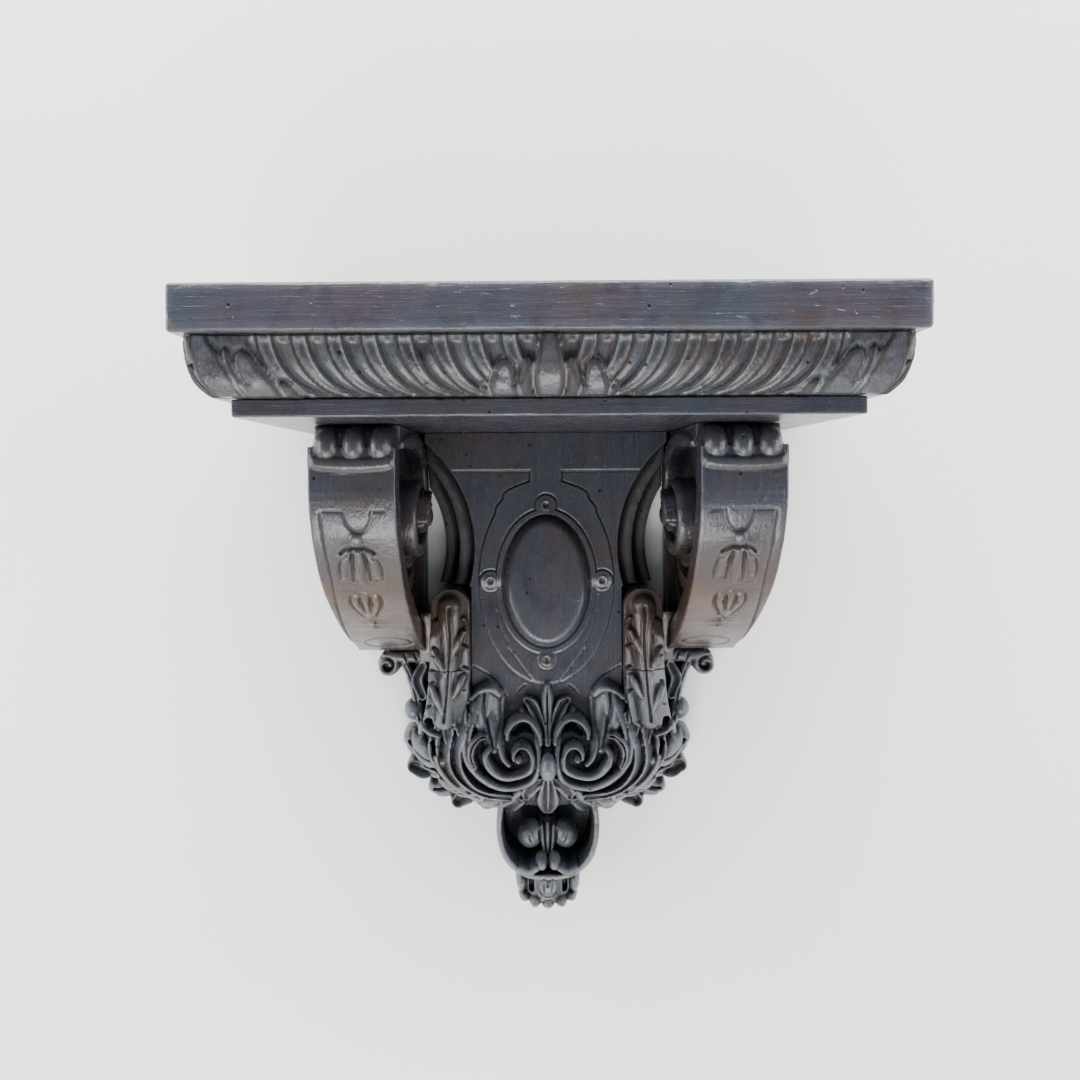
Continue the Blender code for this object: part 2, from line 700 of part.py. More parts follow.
def make_body(material, parts, cutters):
    name = "carved_body"
    levels = list(enumerate(STEP_DEPTHS))
    mesh = mesh_from(name, lambda form: add_slab(
        form, panel_outline(0), -SAW_WASTE, STEP_DEPTHS[0], "y"))
    body = add_object(name, mesh, parts, material)

    def extra(label, build):
        piece = add_object(name + "_" + label, mesh_from(name + "_" + label, build), cutters)
        union(body, as_guide(piece))
        return piece

    for level, depth in levels[1:]:
        extra("step_%d" % level, lambda form, level=level, depth=depth: add_slab(
            form, panel_outline(level), -SAW_WASTE * (1 - level / 8), depth, "y"))
    extra("frame", add_strapwork)
    extra("top_band", add_top_band)
    extra("ears", add_ears)
    extra("boss", add_boss)

    def carving(form):
        add_bowl(form)
        for points in leaf_strokes().values():
            add_stroke(form, points)
        for points in centre_strokes().values():
            add_stroke(form, points)
        add_volute(form)
        add_ball(form, place(0.0, LEAF_DEPTH + 0.006, LEAF_HEIGHT - 7 * CARVE),
                 (6.5 * CARVE, 0.010, 9.5 * CARVE))
        add_pendant(form)
        add_pendant_leaf(form)
        add_terminal(form)
        add_side_curls(form)
        column_ribs(form, 1, GLUE_JOINT, LEAF_HEIGHT + 10 * CARVE, COLUMN_DEPTH, COLUMN_DEPTH + 0.004)
        add_box(form, (PANEL_LOW_HALF - 0.002, 0.006 - COLUMN_DEPTH, LEAF_HEIGHT),
                (SCROLL_INNER - 0.004, 0.004, GLUE_JOINT + 0.004))
        add_other_half(form)

    piece = add_object(name + "_carving", mesh_from(name + "_carving", carving), cutters)
    remesh = piece.modifiers.new("fuse", "REMESH")
    remesh.mode = "VOXEL"
    remesh.voxel_size = CARVING_VOXEL
    thin = piece.modifiers.new("thin", "DECIMATE")
    thin.ratio = CARVING_KEEP
    union(body, as_guide(piece))

    wall = add_object(name + "_wall", mesh_from(name + "_wall", lambda form: add_box(
        form, (-SHELF_WIDTH, 0.0, -SHELF_WIDTH), (SHELF_WIDTH, SHELF_DEPTH, SHELF_WIDTH))), cutters)
    cut(body, as_guide(wall))
    head = add_object(name + "_head", mesh_from(name + "_head", lambda form: add_box(
        form, (-SHELF_WIDTH, -SHELF_DEPTH, BODY_TOP), (SHELF_WIDTH, 0.05, SHELF_WIDTH))), cutters)
    cut(body, as_guide(head))
    for sign in (-1, 1):
        near, far = sorted((sign * PANEL_LOW_HALF, sign * SHELF_WIDTH))
        label = "%s_joint_%s" % (name, "right" if sign > 0 else "left")
        joint = add_object(label, mesh_from(label, lambda form: add_box(
            form, (near, -SHELF_DEPTH, GLUE_JOINT - FIT / 2), (far, 0.04, COLUMN_TOP + FIT))), cutters)
        cut(body, as_guide(joint))
    return body


def main():
    parts, cutters = start_empty()
    board_wood = wood("stained_board", (0.050, 0.045, 0.062), 0.38)
    carved_wood = wood("carved_stained_wood", (0.060, 0.062, 0.072), 0.34)
    make_board("shelf_board", 0.0, shelf_bottom(), SHELF_THICK, SHELF_EDGE_ROUND, board_wood, parts)
    make_moulding(carved_wood, parts)
    make_board("bed_board", BED_INSET, bed_bottom(), BED_THICK, BED_EDGE_ROUND, board_wood, parts)
    make_scroll("scroll_left", -1, carved_wood, parts, cutters)
    make_scroll("scroll_right", 1, carved_wood, parts, cutters)
    make_body(carved_wood, parts, cutters)


main()
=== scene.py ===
"""Dressed model of a carved wooden wall bracket, laid out as an add-on and run as a script.

Lengths named *_MM and all carving are in millimetres: x to the right, u out from the wall, z up from
the middle of the oval boss. Meshes are in metres, with the wall at y = 0 and u along -Y.
"""

import math

import bmesh
import bpy
import numpy as np
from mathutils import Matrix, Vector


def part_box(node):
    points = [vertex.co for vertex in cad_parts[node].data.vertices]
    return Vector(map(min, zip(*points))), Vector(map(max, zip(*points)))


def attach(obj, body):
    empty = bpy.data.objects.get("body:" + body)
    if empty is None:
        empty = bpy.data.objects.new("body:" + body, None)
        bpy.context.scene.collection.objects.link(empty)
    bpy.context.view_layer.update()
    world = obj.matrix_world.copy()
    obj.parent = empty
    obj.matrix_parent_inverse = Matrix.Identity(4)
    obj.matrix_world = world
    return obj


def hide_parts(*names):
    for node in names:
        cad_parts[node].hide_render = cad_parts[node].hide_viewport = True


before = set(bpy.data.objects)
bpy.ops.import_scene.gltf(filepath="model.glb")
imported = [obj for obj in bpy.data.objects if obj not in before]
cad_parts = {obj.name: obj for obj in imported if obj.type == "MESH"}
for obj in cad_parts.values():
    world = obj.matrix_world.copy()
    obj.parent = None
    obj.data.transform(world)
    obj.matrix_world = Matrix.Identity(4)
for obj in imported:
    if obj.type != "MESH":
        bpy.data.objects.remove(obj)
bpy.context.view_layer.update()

bl_info = {
    "name": "Carved wall bracket",
    "version": (1, 0, 0),
    "blender": (4, 5, 0),
    "location": "3D View > Sidebar > Bracket",
    "description": "Builds a carved and stained wooden wall bracket shelf piece by piece",
    "category": "Add Mesh",
}

MM = 0.001
FAR_MM = 50.0

# Grids that the carving is modelled on, and the most triangles of the carved pieces
LEAF_GRID_MM = 0.8
LEAF_FACES = 192000
PENDANT_GRID_MM = 0.7
PENDANT_FACES = 100000
SCROLL_GRID_MM = 0.8
SCROLL_FACES = 150000
BOARD_STEP_MM = 3.4
MOULD_STEP_MM = 0.95
PANEL_ROWS = 356
PANEL_COLUMNS = 200
STRAP_SAMPLES = 420

# Carving shares with the solids, in millimetres
SCROLL_REACH = 147.0
SCROLL_TOP = 110.0
SCROLL_FOOT = -52.0
STRAP_THICK = 17.0
STRAP_TOP = 96.0
STRAP_INNER = 93.2
STRAP_OUTER = 146.8
ARCH_THICK = 13.0
BACK_BAND = 12.0
WEB_HALF = 15.0
BARREL = (62.0, 50.0)
BARREL_RADIUS = 20.0
PANEL_DEPTH = 40.0
PANEL_LOW_HALF = 55.8
WAIST_HEIGHT = 25.0
WAIST_HALF = 53.0
WAIST_ARC = 100.0
BOSS_HALF = (31.4, 48.0)
BOSS_PROUD = 10.0
LEAF_Z = -119.0
LEAF_DEPTH = 66.0
GLUE_JOINT = -62.0
GLUE_HALF_GAP = 0.15
COLUMN_TOP = -4.0
PENDANT_DEPTH = 48.0


def corners_mm(node):
    """A CAD node's box as (x, u, z) lowest and highest corners in millimetres."""
    low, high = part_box(node)
    return (low.x / MM, -high.y / MM, low.z / MM), (high.x / MM, -low.y / MM, high.z / MM)


# Curves and noise

def rail(points, per_span=8):
    """Points along a smooth curve through the given ones, all their numbers carried along."""
    points = np.asarray(points, float)
    ends = np.vstack([2 * points[0] - points[1], points, 2 * points[-1] - points[-2]])
    line = []
    for i in range(len(points) - 1):
        a, b, c, d = ends[i:i + 4]
        for t in np.arange(per_span) / per_span:
            line.append(0.5 * (2 * b + (c - a) * t + (2 * a - 5 * b + 4 * c - d) * t ** 2
                               + (3 * b - a - 3 * c + d) * t ** 3))
    line.append(points[-1])
    return np.array(line)


def value_noise(points, size, seed):
    """Smooth noise from -1 to 1 on an (n, 3) array, its bumps about size apart."""
    table = np.random.RandomState(seed).uniform(-1, 1, (32, 32, 32))
    at = points / size
    cell = np.floor(at).astype(int)
    t = at - cell
    t = t * t * (3 - 2 * t)
    total = np.zeros(len(points))
    for i in (0, 1):
        for j in (0, 1):
            for k in (0, 1):
                weight = (np.where(i, t[:, 0], 1 - t[:, 0]) * np.where(j, t[:, 1], 1 - t[:, 1])
                          * np.where(k, t[:, 2], 1 - t[:, 2]))
                total += weight * table[(cell[:, 0] + i) % 32, (cell[:, 1] + j) % 32,
                                        (cell[:, 2] + k) % 32]
    return total


def smoothstep(low, high, value):
    t = np.clip((value - low) / (high - low), 0, 1)
    return t * t * (3 - 2 * t)


def soft_max(a, b, width):
    """The greater of two fields, rounded over a width."""
    if width <= 0:
        return np.maximum(a, b)
    t = np.clip(0.5 + 0.5 * (a - b) / width, 0, 1)
    return b + (a - b) * t + width * t * (1 - t)


def soft_min(a, b, width):
    return -soft_max(-a, -b, width)


def most(*fields):
    """The greatest of several fields, wherever their grids meet."""
    made = fields[0]
    for field in fields[1:]:
        made = np.maximum(made, field)
    return made


def least(*fields):
    return -most(*[-field for field in fields])


# Cross-sections of a carved rib: height share at s, from 0 in the middle to 1 at the edge

def rounded_rim(s, start, width):
    """1 up to the start, then falling round to 0 over a width."""
    return np.sqrt(np.clip(1 - np.clip((s - start) / width, 0, 1) ** 2, 0, 1))


def crown(s, side):
    return np.sqrt(np.clip(1 - s ** 2, 0, 1))


def dished(s, side):
    """Hollow between raised rims."""
    return (0.66 + 0.34 * smoothstep(0.1, 0.75, s)) * rounded_rim(s, 0.72, 0.28)


def veined(s, side):
    """Round, with a cut vein down the middle."""
    return crown(s, side) - 0.30 * np.exp(-(s / 0.13) ** 2)


def leaning(s, side):
    """High on one side and falling to the other."""
    return (0.62 + 0.38 * np.clip(s * side, -1, 1)) * rounded_rim(s, 0.8, 0.2)


def flat_topped(s, side):
    return rounded_rim(s, 0.7, 0.3)


class Block:
    """Wood on a regular grid, in millimetres: the field is below 0 inside it and above 0 outside."""

    def __init__(self, low, high, step):
        self.step = step
        self.low = np.array(low, float) - 2.5 * step
        count = [int(math.ceil((high[i] - self.low[i]) / step)) + 4 for i in range(3)]
        self.axes = [self.low[i] + step * np.arange(count[i]) for i in range(3)]
        self.field = np.full(count, FAR_MM, np.float32)

    def window(self, low, high):
        spans = []
        for axis, a, b in zip(self.axes, low, high):
            start = int(np.searchsorted(axis, a))
            stop = int(np.searchsorted(axis, b)) + 1
            spans.append(slice(max(start - 1, 0), min(stop + 1, len(axis))))
        return tuple(spans)

    def grids(self, spans):
        x = self.axes[0][spans[0]][:, None, None]
        u = self.axes[1][spans[1]][None, :, None]
        z = self.axes[2][spans[2]][None, None, :]
        return x, u, z

    def add(self, low, high, shape, blend=0.0, cut=False):
        """Adds a shape between two corners, or cuts it away."""
        spans = self.window(low, high)
        here = self.field[spans]
        if here.size:
            made = shape(*self.grids(spans))
            self.field[spans] = soft_max(here, -made, blend) if cut else soft_min(here, made, blend)

    def trim(self, axis, low=-math.inf, high=math.inf):
        """Takes off all wood below and above two places on an axis."""
        at = self.grids((slice(None),) * 3)[axis]
        self.field[:] = most(self.field, low - at, at - high)

    def skin(self):
        """Vertices in millimetres and quads of the surface where the field crosses 0."""
        field = self.field
        for axis in range(3):
            ends = [slice(None)] * 3
            for end in (0, -1):
                ends[axis] = end
                field[tuple(ends)] = np.maximum(field[tuple(ends)], 0.5)
        shape = np.array(field.shape)
        strides = np.array([shape[1] * shape[2], shape[2], 1])
        cells, spots, quads = [], [], []
        for axis in range(3):
            near = [slice(None)] * 3
            far = [slice(None)] * 3
            near[axis], far[axis] = slice(0, -1), slice(1, None)
            a, b = field[tuple(near)], field[tuple(far)]
            index = np.argwhere((a < 0) != (b < 0))
            start = a[tuple(index.T)]
            stop = b[tuple(index.T)]
            spot = index.astype(float)
            spot[:, axis] += start / (start - stop)
            one, two = [i for i in range(3) if i != axis]
            around = []
            for da, db in ((1, 1), (0, 1), (0, 0), (1, 0)):
                cell = index.copy()
                cell[:, one] -= da
                cell[:, two] -= db
                around.append(cell @ strides)
            ring = np.stack(around, 1)
            forward = (start < 0) ^ (axis == 1)
            ring = np.where(forward[:, None], ring, ring[:, ::-1])
            quads.append(ring)
            cells.append(ring.ravel())
            spots.append(np.repeat(spot, 4, axis=0))
        cells, spots = np.concatenate(cells), np.concatenate(spots)
        _, place = np.unique(cells, return_inverse=True)
        total = np.bincount(place)
        points = np.stack([np.bincount(place, spots[:, i]) / total for i in range(3)], 1)
        return self.low + self.step * points, place.reshape(-1, 4)


def sample(field, at):
    """Field at the nearest grid place, far outside where there is none."""
    index = np.rint(at).astype(int)
    inside = np.all((index >= 0) & (index < field.shape), axis=1)
    index = np.clip(index, 0, np.array(field.shape) - 1)
    return np.where(inside, field[tuple(index.T)], FAR_MM)


# The material darkens closed-in places by this measure as painted shade, like ambient occlusion.
def shelter(block, points):
    """How closed in each place is, from 0 on open ground to 1 at the bottom of a deep hollow."""
    at = (points - block.low) / block.step
    slope = []
    for axis in range(3):
        reach = np.zeros(3)
        reach[axis] = 2.0
        slope.append(sample(block.field, at + reach) - sample(block.field, at - reach))
    normals = np.clip(np.stack(slope, 1), -8, 8)
    normals /= np.linalg.norm(normals, axis=1)[:, None] + 1e-6
    total = 0.0
    for away, weight in ((2.5, 0.2), (5.0, 0.3), (9.0, 0.3), (15.0, 0.2)):
        free = sample(block.field, at + normals * away / block.step)
        total = total + weight * np.clip(1 - free / away, 0, 1)
    return total


def line_distance(x, z, line):
    """From every (x, z) to the nearest place on a line: distance, side, and the line's other numbers."""
    best = np.full(np.broadcast(x, z).shape, 1e9)
    side = np.ones(best.shape)
    rest = np.zeros((line.shape[1] - 1,) + best.shape)
    run = 0.0
    for a, b in zip(line, line[1:]):
        dx, dz = b[0] - a[0], b[1] - a[1]
        length = math.hypot(dx, dz)
        if length < 1e-6:
            continue
        t = np.clip(((x - a[0]) * dx + (z - a[1]) * dz) / length ** 2, 0, 1)
        away = np.hypot(x - a[0] - dx * t, z - a[1] - dz * t)
        nearer = away < best
        best = np.where(nearer, away, best)
        side = np.where(nearer, np.sign((x - a[0]) * dz - (z - a[1]) * dx + 1e-9), side)
        for i in range(2, line.shape[1]):
            rest[i - 2] = np.where(nearer, a[i] + (b[i] - a[i]) * t, rest[i - 2])
        rest[-1] = np.where(nearer, run + length * t, rest[-1])
        run += length
    return best, side, rest


def add_rib(block, points, ground, section=crown, root=30.0, blend=0.8, edge=1.2, lift=0.0, cut=False):
    """Carves a rib along (x, z, half width, rise) points, standing on the ground's depth."""
    line = rail(points)
    margin = line[:, 2].max() + 3
    low = (line[:, 0].min() - margin, -10.0, line[:, 1].min() - margin)
    high = (line[:, 0].max() + margin, 160.0, line[:, 1].max() + margin)

    def shape(x, u, z):
        flat_x, flat_z = x[:, 0, :], z[0, :, :]
        away, side, rest = line_distance(flat_x, flat_z, line)
        half, rise = rest[0], rest[1]
        s = np.clip(away / np.maximum(half, 0.3), 0, 1)
        base = ground(flat_x, flat_z) + lift
        top = base + rise * section(s, side)
        if cut:
            deep = np.where(away < half, base - rise * section(s, side), base + 20)
            return np.maximum((away - half)[:, None, :], deep[:, None, :] - u)
        made = soft_max((away - half)[:, None, :], u - top[:, None, :], edge)
        return np.maximum(made, (base - root)[:, None, :] - u)

    block.add(low, high, shape, blend, cut)


def add_ball(block, centre, radii, blend=0.8, cut=False):
    low = [c - r - 3 for c, r in zip(centre, radii)]
    high = [c + r + 3 for c, r in zip(centre, radii)]

    def shape(x, u, z):
        reach = np.sqrt(((x - centre[0]) / radii[0]) ** 2 + ((u - centre[1]) / radii[1]) ** 2
                        + ((z - centre[2]) / radii[2]) ** 2)
        return (reach - 1) * min(radii)

    block.add(low, high, shape, blend, cut)


def sided(sign, points):
    """Points of the right side, mirrored to the left where sign is -1."""
    return [(sign * p[0],) + tuple(p[1:]) for p in points]


def flat_ground(depth):
    """Ground at one depth everywhere, for ribs to stand on."""
    return lambda x, z: np.full(np.broadcast(x, z).shape, float(depth))


# Meshes

def mesh_object(name, points_mm, faces):
    """A mesh from (x, u, z) points in millimetres, its quads turned outwards."""
    points = np.asarray(points_mm, float)
    world = np.stack([points[:, 0], -points[:, 1], points[:, 2]], 1) * MM
    a, b, c, d = (world[faces[:, i]] - world.mean(0) for i in range(4))
    if np.sum(np.cross(a, b) * c) + np.sum(np.cross(a, c) * d) < 0:
        faces = faces[:, ::-1]
    mesh = bpy.data.meshes.new(name)
    mesh.vertices.add(len(world))
    mesh.vertices.foreach_set("co", world.ravel())
    mesh.loops.add(faces.size)
    mesh.loops.foreach_set("vertex_index", faces.ravel().astype(np.int32))
    mesh.polygons.add(len(faces))
    mesh.polygons.foreach_set("loop_start", np.arange(0, faces.size, 4, dtype=np.int32))
    mesh.update(calc_edges=True)
    mesh.validate()
    item = bpy.data.objects.new(name, mesh)
    bpy.context.scene.collection.objects.link(item)
    return item


def apply_modifiers(item):
    graph = bpy.context.evaluated_depsgraph_get()
    made = bpy.data.meshes.new_from_object(item.evaluated_get(graph))
    old = item.data
    item.modifiers.clear()
    item.data = made
    bpy.data.meshes.remove(old)


def keep_faces(item, limit):
    """Thins the mesh to at most that many triangles."""
    count = sum(len(face.vertices) - 2 for face in item.data.polygons)
    if count > limit:
        thin = item.modifiers.new("thin", "DECIMATE")
        thin.ratio = limit / count
        apply_modifiers(item)


def read_points(mesh):
    points = np.empty(len(mesh.vertices) * 3)
    mesh.vertices.foreach_get("co", points)
    return points.reshape(-1, 3)


def read_normals(mesh):
    normals = np.empty(len(mesh.vertices) * 3)
    mesh.vertex_normals.foreach_get("vector", normals)
    return normals.reshape(-1, 3)


# These attributes drive the rubbed wear and also the painted highlight on ridges and painted shade in
# creases.
def mark_proudness(item, fine=6, broad=40):
    """Writes how far each place stands proud of its surroundings, in two breadths, as attributes."""
    mesh = item.data
    points = read_points(mesh)
    normals = read_normals(mesh)
    edges = np.empty(len(mesh.edges) * 2, np.int32)
    mesh.edges.foreach_get("vertices", edges)
    edges = edges.reshape(-1, 2)
    ends = np.concatenate([edges[:, 0], edges[:, 1]])
    others = np.concatenate([edges[:, 1], edges[:, 0]])
    links = np.maximum(np.bincount(ends, minlength=len(points)), 1)
    smooth = points.copy()
    for turn in range(1, broad + 1):
        smooth = 0.35 * smooth + 0.65 * np.stack(
            [np.bincount(ends, smooth[others, i], minlength=len(points)) / links for i in range(3)], 1)
        if turn == fine:
            write_number(mesh, "proud_fine", np.sum((points - smooth) * normals, 1) / MM)
    write_number(mesh, "proud_broad", np.sum((points - smooth) * normals, 1) / MM)


def write_number(mesh, name, values):
    layer = mesh.attributes.new(name, "FLOAT", "POINT")
    layer.data.foreach_set("value", np.asarray(values, np.float32))


def tool_marks(item, depth_mm, size_mm, seed):
    """Small unevenness of hand carving, pushed along the normals and never off the wall plane."""
    mesh = item.data
    points = read_points(mesh)
    normals = read_normals(mesh)
    wave = (value_noise(points / MM, size_mm, seed)
            + 0.5 * value_noise(points / MM, size_mm * 0.45, seed + 1)) / 1.5
    keep = smoothstep(0.0, 2.0, -points[:, 1] / MM)
    points += normals * (wave * depth_mm * MM * keep)[:, None]
    mesh.vertices.foreach_set("co", points.ravel())
    mesh.update()


def finish_piece(item, material, slot, *nodes):
    item.data.materials.clear()
    item.data.materials.append(material)
    item.data.shade_smooth()
    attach(item, "root")
    if nodes:
        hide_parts(*nodes)
    return item


def carved_piece(name, points, faces, closed_in, limit, marks, material, node):
    """A piece from a block's skin, thinned to a limit and marked by tools of (depth, size, seed)."""
    item = mesh_object(name, points, faces)
    # Closed-in measure, kept for the painted shade in the material.
    write_number(item.data, "shelter", closed_in)
    mark_proudness(item)
    keep_faces(item, limit)
    tool_marks(item, *marks)
    return finish_piece(item, material, "carved_wood", node)


def sheet_faces(rows, columns, wrap=False):
    """Quads between rows of points; wrap closes each row into a ring."""
    index = np.arange(rows * columns).reshape(rows, columns)
    right = np.roll(index, -1, axis=1)
    stop = columns if wrap else columns - 1
    return np.stack([index[:-1, :stop], right[:-1, :stop], right[1:, :stop], index[1:, :stop]],
                    -1).reshape(-1, 4)


# Boards

def make_worn_board(name, low, high, radius, dents, material, slot, node):
    """A board as a rounded box on a fine grid, its front and side arrises knocked and rubbed."""
    spans = [high[i] - low[i] for i in range(3)]
    counts = [max(int(span / BOARD_STEP_MM), 8) for span in spans]
    points, faces = [], []
    base = 0

    def ticks(count, span):
        """Closer together near the ends, where the edges are rounded."""
        inner = np.linspace(radius, span - radius, count)
        ends = radius * (1 - np.cos(np.linspace(0, math.pi / 2, 6)[:-1]))
        return np.concatenate([ends, inner, span - ends[::-1]])

    for axis in range(3):
        one, two = [i for i in range(3) if i != axis]
        a = ticks(counts[one], spans[one])
        b = ticks(counts[two], spans[two])
        for end in (0, 1):
            grid = np.zeros((len(a), len(b), 3))
            grid[..., one] = a[:, None]
            grid[..., two] = b[None, :]
            grid[..., axis] = spans[axis] * end
            points.append(grid.reshape(-1, 3))
            quads = sheet_faces(len(a), len(b)) + base
            flip = (end == 0) ^ (axis == 1)
            faces.append(quads if flip else quads[:, ::-1])
            base += len(a) * len(b)
    points = np.concatenate(points)
    faces = np.concatenate(faces)
    key = np.round(points / 0.001).astype(np.int64)
    _, first, place = np.unique(key, axis=0, return_index=True, return_inverse=True)
    points = points[first]
    faces = place.reshape(-1)[faces]
    size = np.array(spans)
    inner = np.clip(points, radius, size - radius)
    back = points[:, 1] < radius
    inner[back, 1] = np.maximum(points[back, 1], 0.0)
    away = points - inner
    length = np.linalg.norm(away, axis=1)
    rounded = length > 1e-9
    points[rounded] = inner[rounded] + away[rounded] / length[rounded, None] * radius
    edge = np.sort(np.minimum(points, size - points), axis=1)[:, 1]
    near_edge = np.exp(-np.clip(edge, 0, None) / (1.6 * radius))
    knock = np.clip(value_noise(points + 300, 16.0, 5) - 0.35, 0, 1) * 0.8
    knock += np.clip(value_noise(points + 300, 5.0, 6) - 0.55, 0, 1) * 1.6
    towards = np.sign(size / 2 - points) * (np.minimum(points, size - points) < 2 * radius)
    keep = smoothstep(0.5, 4.0, points[:, 1])
    points += towards * (dents * knock * near_edge * keep)[:, None]
    sag = 0.25 * value_noise(points + 90, 70.0, 9) * smoothstep(0, 20, points[:, 1])
    points[:, 2] += np.where(points[:, 2] > size[2] / 2, -np.abs(sag), np.abs(sag)) * 0.6
    item = mesh_object(name, points + np.array(low), faces)
    mark_proudness(item, 3, 14)
    return finish_piece(item, material, slot, node)


# Gadrooned moulding

GADROON_PITCH = 18.5
GADROON_DEPTH = 4.8
GADROON_LEAN = 27.0
MOULD_OVERHANG = 20.0
MOULD_INSET = 7.0


def ogee_lobe(phase):
    """Height of a gadroon across its width: rims at both sides of a shallow hollow, deep grooves."""
    t = np.abs((phase % 1.0) - 0.5) * 2
    rim = np.exp(-((t - 0.46) / 0.17) ** 2)
    hollow = 0.60 * np.exp(-(t / 0.42) ** 4)
    body = np.maximum(rim, hollow)
    return body * smoothstep(1.0, 0.80, t)


def leaf_mark(a, b, points, section=crown):
    """Height of a flat leaf rib on the moulding at places (a, b), in millimetres."""
    away, side, rest = line_distance(a, b, rail(points, 6))
    s = np.clip(away / np.maximum(rest[0], 0.3), 0, 1)
    return np.where(away < rest[0], rest[1] * section(s, side), -9.0)


CENTRE_LEAF = (
    (((0, 27, 6, 3.6), (0, 19, 9, 5.0), (0, 8, 7, 4.6), (0, 0, 5, 3.6)), flat_topped),
    (((11.5, 21, 3.4, 3.4), (13, 14, 4.4, 4.8), (10.5, 5, 3.6, 4.2), (8, 0, 3, 3.4)), crown),
    (((24, 18, 5.5, 3.2), (24.5, 12, 8, 4.8), (20, 4, 6, 4.2), (16, 0, 4, 3.4)), flat_topped),
    (((34, 9, 3, 2.6), (31, 3, 3.4, 3.4), (26, 0, 3, 3)), crown),
)
CORNER_LEAF = (
    (((8, 28, 6, 3.4), (11, 18, 10, 5.0), (9, 7, 8, 4.4), (7, 0, 6, 3.4)), flat_topped),
    (((30, 21, 6, 3.4), (31, 14, 9, 4.9), (25, 5, 7.5, 4.4), (19, 0, 5, 3.4)), flat_topped),
    (((43, 12, 3, 2.6), (39, 6, 4, 3.6), (32, 0, 3.4, 3.2)), crown),
    (((21.5, 25, 2.8, 3.6), (20.5, 12, 3, 4.6), (16, 0, 2.6, 3.6)), crown),
)


def mould_carving(from_centre, to_corner, share, height, front):
    """Carved height over the ovolo, in millimetres. share is 0 at the top and 1 at the foot."""
    up = height * (1 - share)
    lean = GADROON_LEAN * share ** 1.7
    phase = (from_centre + lean) / GADROON_PITCH + (0.33 if front else 0.1)
    lobe = ogee_lobe(phase)
    fade = smoothstep(0.0, 0.10, share) * smoothstep(1.0, 0.90, share)
    carve = -GADROON_DEPTH * (1 - lobe) * (0.25 + 0.75 * fade)
    carve = np.where(share > 0.93, np.maximum(carve, -1.2), carve)
    leaf = np.full(carve.shape, -9.0)
    if front:
        for points, section in CENTRE_LEAF:
            leaf = np.maximum(leaf, leaf_mark(from_centre, up, points, section))
        bare = smoothstep(8, 2, to_corner - 30) * smoothstep(0.45, 0.3, share)
        carve = carve * (1 - bare) - 1.2 * bare
    for points, section in CORNER_LEAF:
        leaf = np.maximum(leaf, leaf_mark(to_corner, up, points, section))
    pit = smoothstep(6.5, 4.0, np.hypot(to_corner - 1.0, (up - height + 4) * 0.8))
    carve = carve - 3.0 * pit
    return np.where(leaf > -5, np.maximum(leaf - 0.6, carve), carve)


def make_moulding(material):
    low, high = corners_mm("gadroon_moulding")
    shelf_high = corners_mm("shelf_board")[1]
    half_top = shelf_high[0] - MOULD_INSET
    reach_top = shelf_high[1] - MOULD_INSET
    height = high[2] - low[2]
    front_count = int(2 * half_top / MOULD_STEP_MM)
    side_count = int(reach_top / MOULD_STEP_MM)
    rings = []
    for share in np.concatenate([np.linspace(0, 0.9, 46), np.linspace(0.9, 1.0, 12)[1:]]):
        angle = math.pi / 2 * share
        out, down = math.cos(angle), math.sin(angle)
        half = half_top - MOULD_OVERHANG + MOULD_OVERHANG * out
        reach = reach_top - MOULD_OVERHANG + MOULD_OVERHANG * out
        side_u = np.linspace(0, reach, side_count)
        front_x = np.linspace(-half, half, front_count)

        def carved(from_centre, to_corner, front):
            share_at = np.full(from_centre.shape, share)
            made = mould_carving(from_centre, to_corner, share_at, height, front)
            inward = smoothstep(0.0, 2.0, to_corner)
            return made * inward + 2.0 * (1 - inward) * smoothstep(0.1, 0.5, share)

        def sink(cut):
            if share <= 0.0 or share >= 1.0:
                return np.full(cut.shape, high[2] if share <= 0.0 else low[2])
            return np.clip(high[2] - height * down - cut * down, low[2] + 0.02, high[2] - 0.02)

        side_cut = carved(side_u, reach - side_u, False)
        front_cut = carved(np.abs(front_x), half - np.abs(front_x), True)
        left = np.stack([-half - side_cut * out, side_u, sink(side_cut)], 1)
        front = np.stack([front_x, reach + front_cut * out, sink(front_cut)], 1)
        right = np.stack([half + side_cut * out, side_u, sink(side_cut)], 1)[::-1]
        rings.append(np.clip(np.concatenate([left, front[1:-1], right]), low, high))
    item = ring_solid("gadroon_carving", rings)
    tool_marks(item, 0.22, 5.0, 21)
    mark_proudness(item, 5, 26)
    return finish_piece(item, material, "carved_wood", "gadroon_moulding")


def ring_solid(name, rings):
    """A mesh from rings of points, its first and last ring closed with a flat face."""
    rows, columns = len(rings), len(rings[0])
    item = mesh_object(name, np.concatenate(rings), sheet_faces(rows, columns, wrap=True))
    form = bmesh.new()
    form.from_mesh(item.data)
    form.verts.ensure_lookup_table()
    for start in (0, (rows - 1) * columns):
        form.faces.new([form.verts[i] for i in range(start, start + columns)])
    bmesh.ops.recalc_face_normals(form, faces=form.faces)
    form.to_mesh(item.data)
    form.free()
    return item


# Panel with its oval boss and strapwork

PANEL_FOOT = -104.0
PANEL_TOP_HALF = 90.0
PANEL_DEEPEST = 52.5
PANEL_STEPS = ((0, PANEL_DEPTH), (1, 27.0), (2, 12.0))
STEP_BEAD = 1.3
PANEL_CUTS = (((54.5, -62.5), (42, -70), (33, -80), (27.5, -92)),
              ((16, -77), (21.5, -82), (27.5, -92)),
              ((37, -22), (35, -33), (29, -45)),
              ((28, -50), (16, -66), (10, -74)))


def waist(z, level):
    """Half width of one step of the panel at a height."""
    arc = WAIST_ARC - 7.0 * level
    rise = np.minimum(np.abs(z - WAIST_HEIGHT), arc * 0.995)
    return WAIST_HALF + 12.0 * level + arc - np.sqrt(arc ** 2 - rise ** 2)


